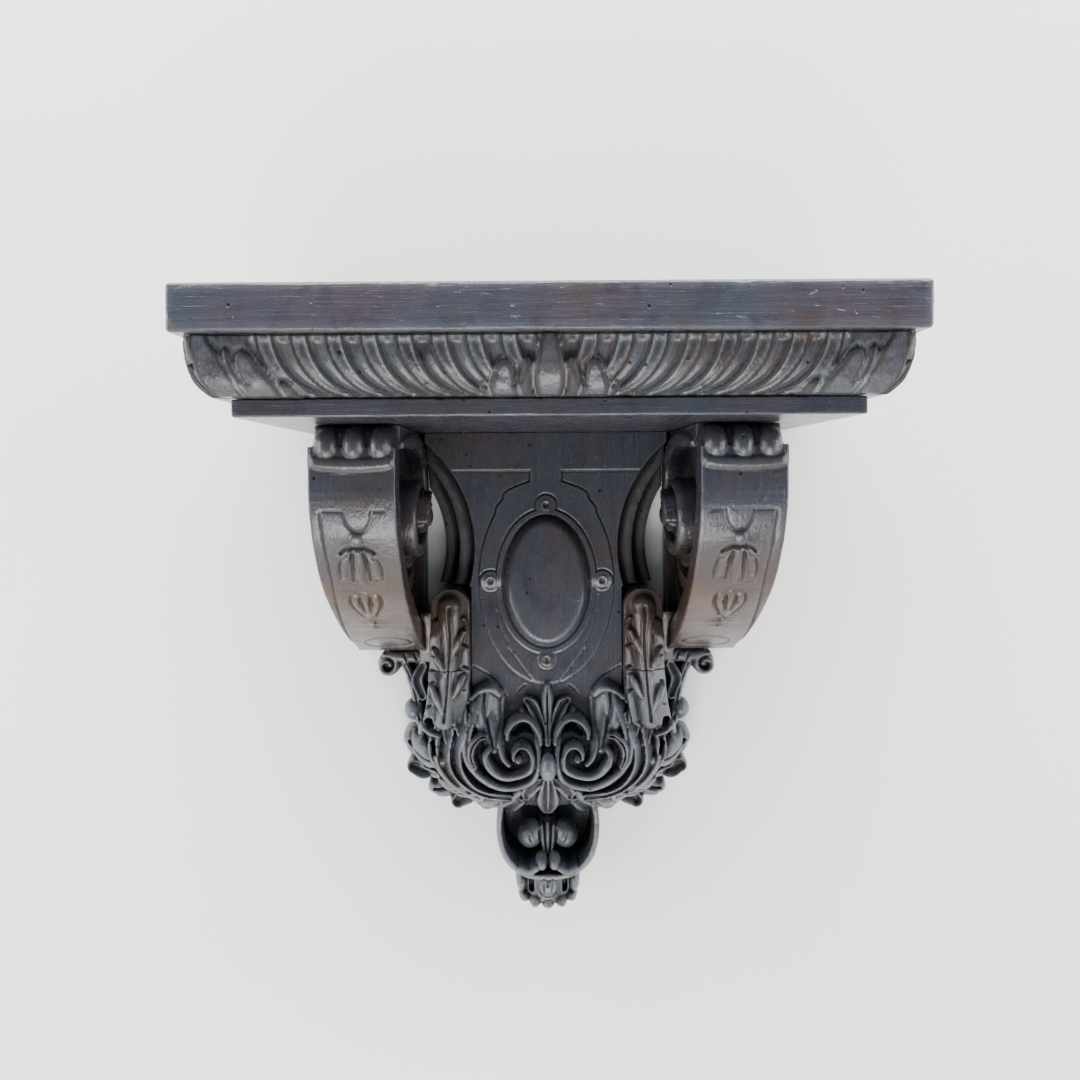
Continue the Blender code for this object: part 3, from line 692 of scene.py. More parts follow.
def band(value, low, high, soft=0.35):
    return smoothstep(low - soft, low + soft, value) * smoothstep(high + soft, high - soft, value)


def line_groove(away, width, depth):
    return -depth * np.exp(-(away / width) ** 2)


def panel_relief(x, z):
    """Carved height over the panel's plain face, in millimetres."""
    a, b = BOSS_HALF
    ax = np.abs(x)
    reach = np.hypot(ax / a, z / b)
    turn = np.arctan2(z / b, ax / a)
    away = (reach - 1) * a * b / np.hypot(b * np.cos(turn), a * np.sin(turn))
    top_half = smoothstep(-6, 4, z)
    ear_side = np.hypot(ax - 41.3, z - 0.5) - 8.0
    ear_top = np.hypot(ax, z - 56.5) - 8.0
    ear_foot = np.hypot(ax, z + 58.0) - 7.2
    ring = least(away - 6.0, ear_side, ear_top, ear_foot)
    ogee = np.where(z > 0, 3.2 * np.exp(-((z - 66) / 5.0) ** 2) + 1.8 * np.exp(-((z - 56) / 4.0) ** 2), 0)
    outer = np.hypot(ax / 50.0, z / 76.0) - 1
    outer_away = outer * 55.0 - ogee
    stem = np.maximum(ax - 12.0, 50 - z)
    frame_edge = np.minimum(outer_away, stem)
    top_band = 81.6 - z
    raised = np.minimum(frame_edge, top_band)
    faint = 0.35 + 0.65 * top_half
    height = 1.5 * smoothstep(0.5, -0.5, raised) * faint
    height += 1.1 * smoothstep(0.45, -0.45, ring) * faint
    height += line_groove(ring, 0.75, 0.9) * faint
    height += line_groove(raised, 0.7, 0.8) * faint
    height += line_groove(away - 0.6, 0.9, 1.2)
    for cx, cz in ((41.3, 0.5), (0.0, 56.5), (0.0, -58.0)):
        spot = np.hypot(ax - cx, z - cz)
        height += 0.35 * band(spot, 2.4, 4.2, 0.6) - 0.9 * smoothstep(1.9, 1.0, spot)
    for points in PANEL_CUTS:
        near = line_distance(ax, z, rail(points, 5))[0]
        height += line_groove(near, 0.75, 0.9 if points[0][1] < -55 else 0.35)
    rim = np.clip(-away / 8.0, 0, 1)
    dome = BOSS_PROUD * np.sqrt(1 - (1 - rim) ** 2.4) + 1.2 * (1 - np.clip(reach, 0, 1) ** 2)
    return np.where(away < 0, np.maximum(dome, height), height)


def make_panel(material):
    """Front of the body: a plate whose sides follow the concave waist, on its two lower steps."""
    top = corners_mm("carved_body")[1][2]
    shares = np.linspace(-1, 1, PANEL_COLUMNS)
    rings = []
    for z in np.linspace(top, PANEL_FOOT, PANEL_ROWS):
        here = []
        for level, depth in PANEL_STEPS:
            half = float(waist(z, level))
            if z < COLUMN_TOP + 0.3:
                half = PANEL_LOW_HALF - 1.2 * level
            here.append((min(half, PANEL_TOP_HALF - 0.1 * level), depth))
        edge = here[0][0]
        x = shares * (edge - 1.0)
        front = np.minimum(PANEL_DEPTH + panel_relief(x, np.full(x.shape, z)), PANEL_DEEPEST)
        side = [(edge - 0.45, PANEL_DEPTH - 0.12), (edge, PANEL_DEPTH - 0.6)]
        for (half, depth), (wide, lower) in zip(here, here[1:]):
            gap = max(wide - half, 0.02)
            side += [(half + 0.02, depth - 3.0), (half + gap * 0.10, lower + 2.2 * STEP_BEAD),
                     (half + gap * 0.22, lower + 0.5 * STEP_BEAD), (half + gap * 0.36, lower - 0.8),
                     (half + gap * 0.50, lower + 0.4), (half + gap * 0.80, lower + 0.5),
                     (half + gap * 0.97, lower), (half + gap, lower - 0.8)]
        side += [(here[2][0] + 0.01, 6.0), (here[2][0], 0.0)]
        right = np.array(side)
        left = np.stack([-right[::-1, 0], right[::-1, 1]], 1)
        section = np.concatenate([left, np.stack([x, front], 1), right])
        rings.append(np.column_stack([section, np.full(len(section), z)]))
    item = ring_solid("oval_panel", rings)
    tool_marks(item, 0.10, 14.0, 31)
    mark_proudness(item, 4, 24)
    return finish_piece(item, material, "carved_wood", "carved_body")


# Acanthus block

def bowl(x, z):
    """Depth of the leaf block's ground at a place."""
    inside = 1.0 - (x / 104.0) ** 2 - ((z - LEAF_Z) / 60.0) ** 2
    return LEAF_DEPTH * np.sqrt(np.clip(inside, 0.02, 1))


def at_leaf(points):
    return [(x, z + LEAF_Z, half, rise) for x, z, half, rise in points]


def leaf_ground(x, z):
    """Plain ground of the block: level with the panel above, swelling to the bowl below and outside."""
    swell = np.maximum(smoothstep(38, -8, z - LEAF_Z), smoothstep(36, 56, np.abs(x)))
    return PANEL_DEPTH + (bowl(x, z) - PANEL_DEPTH) * swell


LEAF_RIBS = (
    # Points are (across, up from LEAF_Z, half width, rise). Lobes at the block's outer edge
    (((80, -12, 7, 9), (90, -11, 11, 15), (99, -7, 11, 18), (104, -3, 7, 18)), veined),
    (((84, -25, 5, 9), (93, -26, 8.5, 15), (101, -23, 6.5, 16)), dished),
    (((64, -34, 7, 8), (73, -38, 10.5, 13), (81, -41, 9.5, 15), (86, -41, 6, 14)), veined),
    (((52, -40, 6, 7), (61, -46, 8.5, 12), (68, -51, 6.5, 12)), dished),
    (((34, -42, 6, 5), (41, -48, 9.5, 10), (47, -52, 9, 12), (51, -52, 5, 11)), veined),
    (((20, -40, 4, 4), (27, -46, 7, 8), (32, -51, 5.5, 9)), dished),
    # Upright leaves with overturned tips
    (((39, 4, 6, 6), (43, 17, 10, 9), (46, 29, 12.5, 10.5), (46, 38, 11, 9.5)), veined),
    (((35, 37, 3.2, 9.5), (41, 42, 4.4, 11.5), (49, 41.5, 4.6, 12), (56, 36.5, 3.8, 11.5)), crown),
    (((53, 38, 4, 10.5), (54, 28, 4.6, 12), (57, 17, 4.4, 12), (59, 7, 3.8, 11)), leaning),
    (((60, 8, 4.5, 6), (63, 20, 6, 8), (63, 29, 5.5, 9), (61, 33, 3, 8)), dished),
    (((58, 33, 2.2, 11), (63, 33.5, 2.6, 12.5), (68, 28, 2.6, 12), (70, 20, 2.2, 10)), crown),
    (((71, 4, 4, 7), (73, 16, 5.5, 9), (73, 25, 5, 10), (71, 29, 3, 9)), dished),
    (((69, 30, 2, 12), (74, 29, 2.6, 13.5), (78, 23, 2.6, 13), (78.5, 15, 2, 11)), crown),
    (((79, 9, 2.8, 14), (86, 10.5, 3.2, 17), (92, 12, 3.6, 18), (94, 8, 3, 17)), crown),
    # Stems that sweep from under the bead out and up into the leaves
    (((58, 24, 3.4, 9), (62, 13, 4.2, 11), (65.5, 1, 4.6, 12.5), (64, -14, 4.6, 13),
      (56, -27, 4.4, 12.5), (44, -33.5, 4.0, 10.5), (28, -34, 3.4, 8)), leaning),
    (((68, 22, 3.0, 8), (71.5, 9, 3.8, 10.5), (74, -6, 4.4, 12), (70.5, -20, 4.4, 12),
      (60, -32, 4.2, 10.5), (45, -39.5, 3.8, 8.5), (24, -40, 3.0, 6)), leaning),
    (((79, 17, 2.8, 9), (80.5, 3, 3.4, 11), (81.5, -10, 3.8, 12), (75, -24, 3.8, 11),
      (64, -35, 3.4, 9.5), (51, -43, 3, 7)), crown),
    (((85, 6, 2.2, 13), (86, -4, 2.6, 14), (83, -13, 2.8, 13), (78, -20, 2.4, 10)), crown),
    # Hooked lobes inside the leaf
    (((44, 11, 2.6, 12), (49, 10.5, 3.8, 14.5), (53.5, 5.5, 4.2, 15), (54.5, -2, 3.8, 14),
      (52, -9, 3, 13)), veined),
    # Band under the volute, the volute from its eye out to the hooked tip, the stem beside it, the brow
    (((7.5, 9, 2.6, 10), (6.6, -3, 2.8, 11.5), (9.5, -15.5, 3.0, 12), (18.6, -22, 3.2, 12),
      (30, -24.5, 3.8, 12), (41, -21.5, 4.2, 12), (50, -15, 4.2, 12.5), (57, -6, 4.0, 12),
      (59.5, 4, 3.8, 11), (58, 13, 3.2, 10)), crown),
    (((24, -1.4, 2.0, 13.5), (23.9, 2.5, 2.2, 13.5), (20, 6.1, 2.5, 13.5), (13.8, 4.8, 2.7, 13),
      (10.6, -1.4, 2.8, 13), (12.4, -8.8, 2.9, 13), (20, -13.4, 3.1, 13), (28, -15.2, 3.7, 13),
      (35.2, -13.6, 4.2, 13.5), (41.2, -8, 4.2, 14), (44, -1, 3.4, 13.5), (41.5, 3.5, 2.4, 12)), crown),
    (((36, 36, 5, 1.5), (35.8, 24, 4.6, 3.5), (35, 11, 4.2, 6), (32, -1, 3.4, 8),
      (27.5, -6.5, 2.4, 9)), crown),
    (((5, 8, 2.4, 12), (6.5, 14.5, 2.8, 13.5), (11.5, 20.5, 3.2, 14.5), (18, 22.6, 3.4, 15),
      (24.5, 20, 3.2, 14.5), (28.6, 14.5, 2.6, 13), (28.8, 10, 2.0, 11.5)), crown),
    # Palmette and tongue leaf
    (((3, 12, 2.8, 10), (6.5, 22, 4, 10.5), (11, 30, 4.8, 10), (15, 33, 2.8, 8)), dished),
    (((6, 10, 2.2, 10), (12, 20, 3.2, 9.5), (18, 25, 3.2, 8)), crown),
    (((4, -18, 3.2, 8), (10, -22, 5, 9.5), (14.5, -28, 5, 10), (15.5, -33, 3, 8)), dished),
    (((15, -26, 2.6, 7), (21, -30, 3.6, 8.5), (24, -36, 3, 8)), crown),
)
CENTRE_RIBS = (
    (((0, 8, 3.2, 12), (0, 20, 4.4, 12), (0, 33, 5.6, 11), (0, 43, 2.4, 8)), veined),
    (((0, -17, 4, 9), (0, -28, 7.5, 10.5), (0, -38, 8.5, 11), (0, -48, 5, 9)), dished),
    (((0, -16, 1.6, 12), (0, -30, 1.8, 13), (0, -45, 1.2, 11.5)), crown),
)


def lay_column(block, sign):
    """Folded leaf column; the same ribs run through the glue joint."""
    middle = PANEL_LOW_HALF + 14.6
    ground = flat_ground(51)

    def fold(points, section=crown, blend=0.5, lift=0.0, cut=False):
        placed = [(sign * (middle + x), z, half, rise) for x, z, half, rise in points]
        add_rib(block, placed, ground, section, root=60, blend=blend, lift=lift, cut=cut)

    fold(((0, -17, 8.6, 8.0), (0, -24, 8.8, 10.0), (-1, -40, 7.2, 10.0), (0.5, -62, 7.0, 9.5),
          (2, -80, 8.0, 9.5), (4, -98, 8.0, 9.0)), veined)
    fold(((-9.5, -27, 3.6, 5.0), (-10, -38, 5.0, 8.0), (-9, -62, 5.4, 8.0), (-8, -82, 5.0, 7.5),
          (-5, -98, 5.0, 6.5)), leaning)
    fold(((9.5, -29, 3.6, 5.0), (10, -42, 5.0, 7.6), (10, -62, 5.2, 8.0), (11, -82, 5.8, 8.0),
          (14, -98, 5.6, 6.5)), leaning)
    for x, z, drop in ((-5, -34, 16), (5.5, -47, 17), (-5, -66, 15), (7, -74, 18)):
        side = math.copysign(1.0, x)
        fold(((x - side * 2, z - drop, 2.2, 9.6), (x + side * 2.5, z - drop * 0.4, 3.6, 11.4),
              (x + side * 5.5, z, 2.8, 9.4)))
    for x, z in ((-11, -44), (-11.5, -60), (-10.5, -77), (12, -52), (12.5, -71), (15, -88)):
        side = math.copysign(1.0, x)
        fold(((x - side * 1.5, z + 1, 1.1, 4.5), (x + side * 3.5, z, 1.5, 5.5)),
             blend=0.4, lift=7.0, cut=True)


def lay_side_curl(block, sign):
    """The little scroll, rolled leaf, stem and bud below a strap's sawn end."""
    ground = flat_ground(19)

    def rib(points, section=crown, blend=0.6, lift=0.0, cut=False):
        add_rib(block, sided(sign, points), ground, section, root=30, blend=blend, lift=lift, cut=cut)

    spiral = []
    for share in np.arange(16) / 15:
        angle = math.radians(75) + 2 * math.pi * 1.25 * share
        radius = 8.6 * (1 - 0.72 * share)
        spiral.append((121.3 + radius * math.cos(angle), -66.0 + radius * math.sin(angle),
                       2.5 - 0.4 * share, 5.0))
    rib(spiral, blend=0.3)
    add_ball(block, (sign * 121.3, 10.0, -66.0), (9.0, 9.0, 9.0), 0.5)
    rib(((84, -59.6, 5.4, 5.5), (97, -59.0, 5.2, 6.5), (110, -59.4, 4.8, 6.0), (119, -57.6, 3.6, 5.0)))
    for x in (92, 100, 108):
        rib(((x, -55.6, 0.9, 1.6), (x - 2, -63.5, 0.9, 1.6)), blend=0.4, lift=5.6, cut=True)
    rib(((108, -64, 3.4, 5), (103, -76, 3.8, 6), (99, -90, 4.2, 7), (96, -106, 5.0, 9),
         (90, -118, 5.0, 10), (82, -130, 5.0, 10)), veined, blend=0.8)
    rib(((94, -66, 4.0, 5), (98, -76, 5.0, 8), (94, -88, 4.0, 8)), dished)
    add_ball(block, (sign * 101.5, 20.0, -99.0), (7.2, 9.5, 8.2), 0.5)
    rib(((95.5, -101.0, 1.0, 1.6), (101, -104.0, 1.0, 1.8), (107, -101.5, 1.0, 1.6)),
        blend=0.4, lift=9.6, cut=True)


LEAF_CUTS = (
    # Points are (across, up from LEAF_Z, half width, depth)
    ((10.5, 12.5, 1.6, 4), (17.5, 14.5, 2.8, 5), (24, 11, 2.0, 4)),
    ((83.5, 3, 2.0, 16), (82, -5, 1.6, 15)),
    ((86, 20, 3, 8), (84, 15, 2, 8)),
    ((46, -14, 0.9, 5), (36, -19.4, 1.0, 6), (26, -20, 1.0, 6), (15, -16, 0.8, 5)),
)


def make_leaf_block(material):
    low, high = corners_mm("carved_body")
    block = Block((low[0], -1.0, -178.0), (high[0], high[1], -52.5), LEAF_GRID_MM)

    def ground(x, u, z):
        rim = (np.hypot(x / 94.0, (z - LEAF_Z + 4) / 46.0) - 1) * 46.0
        return soft_max(u - leaf_ground(x, z), rim, 8.0)

    def core(x, u, z):
        return most(np.abs(x) - 53.0, u - 37.5, z + 66.0, -100.0 - z)

    def above(x, u, z):
        """Where the scrolls' leaf columns stand, over the glue joint."""
        return most(GLUE_JOINT - z + GLUE_HALF_GAP, 55.0 - np.abs(x), np.abs(x) - 88.0)

    block.add((-130, -5, -180), (130, 90, -50), ground)
    block.add((-60, -5, -110), (60, 45, -60), core)
    for sign in (-1, 1):
        def foot(x, u, z):
            return most(np.abs(x * sign - 71) - 14.5, u - 49.0, np.abs(z + 84) - 24.0)

        block.add((sign * 71 - 20, -5, -112), (sign * 71 + 20, 60, -55), foot, 1.0)
        lay_column(block, sign)
        lay_side_curl(block, sign)
    for points, section in LEAF_RIBS:
        placed = at_leaf(points)
        add_rib(block, placed, leaf_ground, section, root=46, blend=0.5)
        add_rib(block, sided(-1, placed), leaf_ground, lambda s, side: section(s, -side),
                root=46, blend=0.5)
    for points, section in CENTRE_RIBS:
        add_rib(block, at_leaf(points), leaf_ground, section, root=46, blend=0.5)
    add_ball(block, (0.0, LEAF_DEPTH + 6.0, LEAF_Z - 7.0), (6.4, 9.5, 9.6), 0.2)
    for sign in (-1, 1):
        add_ball(block, (sign * 20.6, LEAF_DEPTH + 5.0, LEAF_Z - 1.6), (2.4, 8.0, 2.4), 0.3)
        for points in LEAF_CUTS:
            add_rib(block, sided(sign, at_leaf(points)), leaf_ground, crown, cut=True, blend=0.6)
    block.trim(1, low=0.0)
    block.add((-95, -5, -63), (95, 90, -50), above, cut=True)
    points, faces = block.skin()
    return carved_piece("acanthus_block", points, faces, shelter(block, points), LEAF_FACES,
                        (0.28, 4.5, 41), material, "carved_body")


# Pendant

PENDANT_WALL = ((27.5, -150), (33, -160), (35.4, -172), (35.4, -186), (31.5, -200), (23, -210),
                (12, -215), (0, -216))


def make_pendant(material):
    low = corners_mm("carved_body")[0]
    block = Block((-45, -1.0, low[2] - 1), (45, 66, -150.0), PENDANT_GRID_MM)

    def rib(sign, depth, points, section=crown, root=30.0, blend=0.6, cut=False):
        add_rib(block, sided(sign, points), flat_ground(depth), section, root, blend, cut=cut)

    for sign in (-1, 1):
        wall = [(x, z, 2.2, 3.0) for x, z in PENDANT_WALL]
        rib(sign, PENDANT_DEPTH - 3.5, wall, flat_topped, root=60)
    outline = rail(PENDANT_WALL, 4)

    def back(x, u, z):
        half = np.interp(-z[0, 0, :], -outline[:, 1], outline[:, 0])
        return most(np.abs(x) - half[None, None, :], u - 9.0, -216.0 - z)

    block.add((-45, -5, -222), (45, 15, -148), back, 1.0)
    # Shell of two round lobes with a ribbed bell between them
    for sign in (-1, 1):
        add_ball(block, (sign * 13.2, 29.0, -190.5), (9.8, 11.5, 10.2), 0.6)
        rib(sign, 41, ((15.0, -184, 0.8, 1.6), (13.0, -192, 0.9, 2.2), (8.0, -201, 0.8, 2.0)),
            blend=0.8, cut=True)
        rib(sign, 40, ((6.4, -181, 1.4, 5), (5.8, -191, 1.6, 7), (3.4, -203, 1.4, 6)), cut=True)
        add_ball(block, (sign * 4.6, 39.0, -206.0), (4.8, 13.0, 5.6), 0.3)
        rib(sign, 45, ((8, -208.5, 2.6, 6), (14, -211.5, 3.0, 5), (21, -209.5, 2.0, 3)))
    add_ball(block, (0.0, 24.0, -192.0), (8.5, 9.5, 12.0), 0.8)
    for x, top in ((-4.6, -184), (0, -181.5), (4.6, -184)):
        rib(1, 29, ((x, top, 1.9, 5), (x * 0.9, -192, 2.2, 8), (x * 0.5, -204, 1.6, 8)),
            root=26, blend=0.3)
    # Terminal: a broad capital with an eyelet each side of a ribbed middle
    centre = -227.0

    def capital(x, u, z):
        down = np.clip(centre - z, -14, 14)
        wide = 23.0 - 0.022 * np.clip(down + 4, 0, 20) ** 2
        reach = np.sqrt((x / wide) ** 2 + ((u - 16.0) / 26.0) ** 2)
        return soft_max((reach - 1) * 21.0, np.abs(z - centre) - 12.6, 5.0)

    block.add((-30, -5, -246), (30, 60, -208), capital, 0.5)
    for sign in (-1, 1):
        add_ball(block, (sign * 19.4, 25.0, -224.0), (5.0, 15.5, 10.0), 0.6)
        add_ball(block, (sign * 9.6, 33.5, -236.8), (4.8, 12.0, 4.6), 0.4)
        add_ball(block, (sign * 17.2, 27.0, -235.6), (5.0, 12.0, 4.6), 0.6)
        rib(sign, 44, ((12.3, -222.6, 2.1, 13), (12.3, -229.4, 2.1, 13)), flat_topped,
            blend=0.3, cut=True)
    add_ball(block, (0.0, 33.0, -225.0), (9.0, 13.5, 10.5), 0.5)
    add_ball(block, (0.0, 33.0, -238.0), (5.6, 11.5, 4.8), 0.4)
    for sign in (-1, 1):
        rib(sign, 46, ((3.2, -217, 0.8, 1.6), (3.2, -226, 1.0, 2.0), (3.2, -233, 0.8, 1.6)),
            blend=0.7, cut=True)
    block.trim(1, low=0.0)
    block.trim(2, high=-150.5)
    points, faces = block.skin()
    return carved_piece("pendant", points, faces, shelter(block, points), PENDANT_FACES,
                        (0.22, 4.0, 51), material, "carved_body")


# Scroll brackets

STRAP_SHAPE = ((1.0, 0.16), (0.993, 0.29), (0.939, 0.438), (0.85, 0.568), (0.735, 0.698),
               (0.578, 0.821), (0.408, 0.92), (0.211, 1.0))
STRAP_MARKS = (
    # Points are (x, run down the strap's face, half width, rise)
    ((119.5, 46.5, 4.2, 1.7), (119.5, 48.5, 4.2, 1.7)),
    ((113.5, 56, 2.2, 1.0), (110.5, 63, 2.6, 1.3), (108.5, 76, 1.8, 0.8)),
    ((119.3, 56, 2.8, 1.3), (119.3, 68, 3.2, 1.7), (119.3, 81, 2.0, 1.0)),
    ((125, 56, 2.2, 1.0), (128.2, 63, 2.6, 1.3), (130.2, 76, 1.8, 0.8)),
    ((113, 96, 2.8, 1.3), (113.5, 103, 3.2, 1.5), (117.0, 116, 1.8, 0.9)),
    ((119.5, 93, 2.4, 1.2), (119.5, 104, 3.0, 1.7), (119.3, 118, 2.0, 1.1)),
    ((126, 96, 2.8, 1.3), (125.5, 103, 3.2, 1.5), (121.6, 116, 1.8, 0.9)),
    ((119.4, 125, 2.6, 1.5), (119.4, 127, 2.6, 1.5)),
    ((119.0, 133, 2.0, 1.2), (119.0, 134, 2.0, 1.2)),
)
STRAP_CUTS = (
    ((115.6, 58, 0.9, 2.0), (113.6, 80, 0.8, 1.6)),
    ((123.0, 58, 0.9, 2.0), (125.0, 80, 0.8, 1.6)),
    ((109, 57.5, 1.0, 2.2), (113, 54.5, 1.2, 2.4), (119.5, 53.5, 1.2, 2.4), (126, 54.5, 1.2, 2.4),
     (130, 57.5, 1.0, 2.2)),
    ((116.5, 97, 0.8, 1.6), (117.5, 110, 0.7, 1.2)),
    ((123.0, 97, 0.8, 1.6), (121.5, 110, 0.7, 1.2)),
    ((113.4, 58, 0.7, 1.2), (106.6, 66, 0.7, 1.4), (105.6, 80, 0.6, 1.0)),
    ((125.4, 58, 0.7, 1.2), (132.0, 66, 0.7, 1.4), (133.0, 80, 0.6, 1.0)),
    ((110, 94, 0.7, 1.4), (109.5, 104, 0.8, 1.6), (115, 118, 0.6, 1.0)),
    ((129, 94, 0.7, 1.4), (129.5, 104, 0.8, 1.6), (123.5, 118, 0.6, 1.0)),
    ((115.5, 101, 1.1, 1.6), (115.6, 102.5, 1.1, 1.6)),
    ((123.6, 101, 1.1, 1.6), (123.5, 102.5, 1.1, 1.6)),
)


def strap_line():
    drop = SCROLL_TOP - SCROLL_FOOT
    return rail([(SCROLL_REACH * out, SCROLL_TOP - drop * down) for out, down in STRAP_SHAPE], 8)


def strap_relief(x, run):
    """Carved height on the strap's face at (x, run down it)."""
    height = np.zeros(np.broadcast(x, run).shape)
    for points in STRAP_MARKS:
        away, side, rest = line_distance(x, run, rail(points, 4))
        s = np.clip(away / rest[0], 0, 1)
        height = np.maximum(height, np.where(away < rest[0], rest[1] * crown(s, side), 0))
    for points in STRAP_CUTS:
        away, side, rest = line_distance(x, run, rail(points, 4))
        height -= rest[1] * np.exp(-(away / rest[0]) ** 2)
    border = 140.2 + 5.5 * smoothstep(60, 150, run) - 5.4 * smoothstep(30, 160, run)
    height += line_groove(x - border, 0.7, 1.3) * smoothstep(27, 30, run) * smoothstep(190, 184, run)
    height += line_groove(run - 28.0, 0.8, 0.7) * (band(x, 126.0, 139.0) + band(x, 100.0, 109.0))
    notch = np.hypot((x - 117.5) / 8.5, (run - 28.0) / 14.0) * 10.0 - 10.0
    height += np.where(run > 28.0, line_groove(notch, 0.8, 1.2), 0)
    foot = np.hypot(x - 114.5, (run - 166.0) * 1.3) - 17.0
    height += line_groove(foot, 0.8, 0.8)
    return height


def lay_strap(block):
    x, u, z = block.grids((slice(None),) * 3)
    away, side, rest = line_distance(u[0], z[0], strap_line())
    reach = -away * side
    run = rest[-1]
    runs = np.linspace(0, run.max() + 1, STRAP_SAMPLES)
    table = strap_relief(x[:, :, 0], runs[None, :])
    index = np.clip(run / runs[1], 0, len(runs) - 2)
    whole = index.astype(int)
    part = index - whole
    carve = table[:, whole] * (1 - part) + table[:, whole + 1] * part
    slab = np.maximum(reach[None] - carve, -(reach[None] + STRAP_THICK))
    lean = smoothstep(20, -52, z)
    width = np.maximum(STRAP_INNER - 2.4 * lean - x, x - (STRAP_OUTER - 5.6 * lean))
    slab = most(soft_max(slab, width, 1.6), SCROLL_FOOT - z, z - STRAP_TOP)
    block.field[:] = soft_min(block.field, slab, 0.3)


def lay_roll(block):
    """Lobed cushion under the bed board, with a soft lip where it meets the strap."""

    def roll(x, u, z):
        reach = np.hypot(u - 133.0, z - 97.0) - 12.4
        return soft_max(reach, np.abs(x - 119.6) - 25.0, 6.0)

    block.add((90, 110, 80), (150, 150, 112), roll, 0.5)
    for x in (102.4, 118.9, 135.4):
        add_ball(block, (x, 136.5, 96.5), (9.7, 15.0, 12.8), 0.6)

    def lip(x, u, z):
        droop = 85.0 + 0.003 * (x - 119) ** 2
        reach = np.hypot(u - 138.5, (z - droop) * 1.5) - 11.0
        return soft_max(reach, np.abs(x - 119.6) - 26.0, 5.0)

    block.add((88, 118, 72), (150, 151.6, 98), lip, 0.5)


def side_rib(block, points, near, far, section=crown, blend=0.6):
    """A rib drawn in the side view, (u, z, half width, rise), on a face square to X."""
    line = rail(points)
    margin = line[:, 2].max() + 3
    face, sign = near, math.copysign(1, far - near)
    low = (min(near, far) - 12, line[:, 0].min() - margin, line[:, 1].min() - margin)
    high = (max(near, far) + 12, line[:, 0].max() + margin, line[:, 1].max() + margin)

    def shape(x, u, z):
        away, side, rest = line_distance(u[0, :, :], z[0, :, :], line)
        s = np.clip(away / np.maximum(rest[0], 0.3), 0, 1)
        top = rest[1] * section(s, side)
        out = -(x - face) * sign
        made = soft_max((away - rest[0])[None], out - top[None], 0.7)
        return np.maximum(made, -out - abs(far - near))

    block.add(low, high, shape, blend)


def lay_side_faces(block):
    """Arch, back band, web, barrel and the C-shaped ribs of both side faces."""

    def box(u, z, u0, u1, z0, z1):
        return most(u0 - u, u - u1, z0 - z, z - z1)

    def arch(x, u, z):
        top = box(u, z, -5, 134, SCROLL_TOP - ARCH_THICK, SCROLL_TOP)
        back = box(u, z, -5, BACK_BAND, SCROLL_FOOT, SCROLL_TOP)
        corner = np.maximum(box(u, z, -5, 32, 77, SCROLL_TOP), 20 - np.hypot(u - 32, z - 77))
        return soft_max(least(top, back, corner), np.abs(x - 119.0) - 26.6, 1.2)

    line = strap_line()

    def web(x, u, z):
        reach = np.interp(-z[0, 0, :], -line[:, 1], line[:, 0] - STRAP_THICK * 0.6)
        made = most(u - reach[None, None, :], z - 104.0, SCROLL_FOOT - z)
        pores = 0.5 * np.sin(u * 1.9 + 1.3 * np.sin(z * 0.7)) * np.sin(z * 2.1 + np.sin(u * 0.9))
        return np.maximum(made, np.abs(x - 119.0) - WEB_HALF - pores)

    def barrel(x, u, z):
        reach = np.hypot(u - BARREL[0], z - BARREL[1]) - BARREL_RADIUS
        return soft_max(reach, np.abs(x - 119.3) - 26.6, 2.0)

    block.add((88, -5, -56), (150, 140, 113), arch)
    block.add((100, -5, -56), (138, 150, 112), web)
    for cu, cz, ru, rz in ((100, 84, 15, 6), (104, 40, 9, 12), (50, 8, 17, 7), (26, 46, 6, 16)):
        for x in (101.0, 137.0):
            add_ball(block, (x, cu, cz), (11.0, ru, rz), 1.0, cut=True)
    block.add((88, 38, 26), (150, 86, 74), barrel, 1.0)
    outline = ((126, 98, 3.0, 2.2), (92, 102.5, 4.2, 2.6), (52, 101, 5.2, 3.0), (26, 88, 5.6, 3.2),
               (18, 66, 5.0, 3.2), (22, 44, 4.6, 3.2), (38, 29, 4.4, 3.4), (60, 24.5, 4.4, 3.6),
               (80, 33, 4.4, 3.8), (87, 51, 4.2, 4.0), (79, 67, 4.0, 4.4), (63, 72, 3.8, 4.8),
               (49, 63, 3.6, 5.2), (47, 49, 3.4, 5.6), (56, 40, 3.2, 6.0), (68, 44, 3.0, 6.4))
    side_rib(block, outline, 92.4, 104.0)
    side_rib(block, [(u, z, half, rise * 0.35) for u, z, half, rise in outline], 145.8, 134.0)
    for points in (((40, 30, 3, 4), (62, 18, 5, 5), (88, 22, 4, 4), (104, 34, 2, 3)),
                   ((30, 20, 3, 3), (50, 4, 5, 4), (76, 2, 4, 4), (92, 12, 2, 3)),
                   ((20, 4, 3, 3), (38, -14, 5, 4), (58, -16, 3, 4)),
                   ((104, 76, 2, 3), (116, 64, 4, 4), (118, 46, 3, 4), (110, 34, 2, 3))):
        side_rib(block, points, 101.0, 112.0, dished)
        side_rib(block, points, 137.0, 126.0, dished)
    leaf_tip = ((48, 50, 5, 3), (58, 62, 6, 6), (72, 60, 5, 8), (78, 48, 3, 6))
    side_rib(block, leaf_tip, 88.0, 100.0, dished)
    add_ball(block, (85.0, 60.0, 50.0), (4.0, 9.0, 8.0), 1.5)


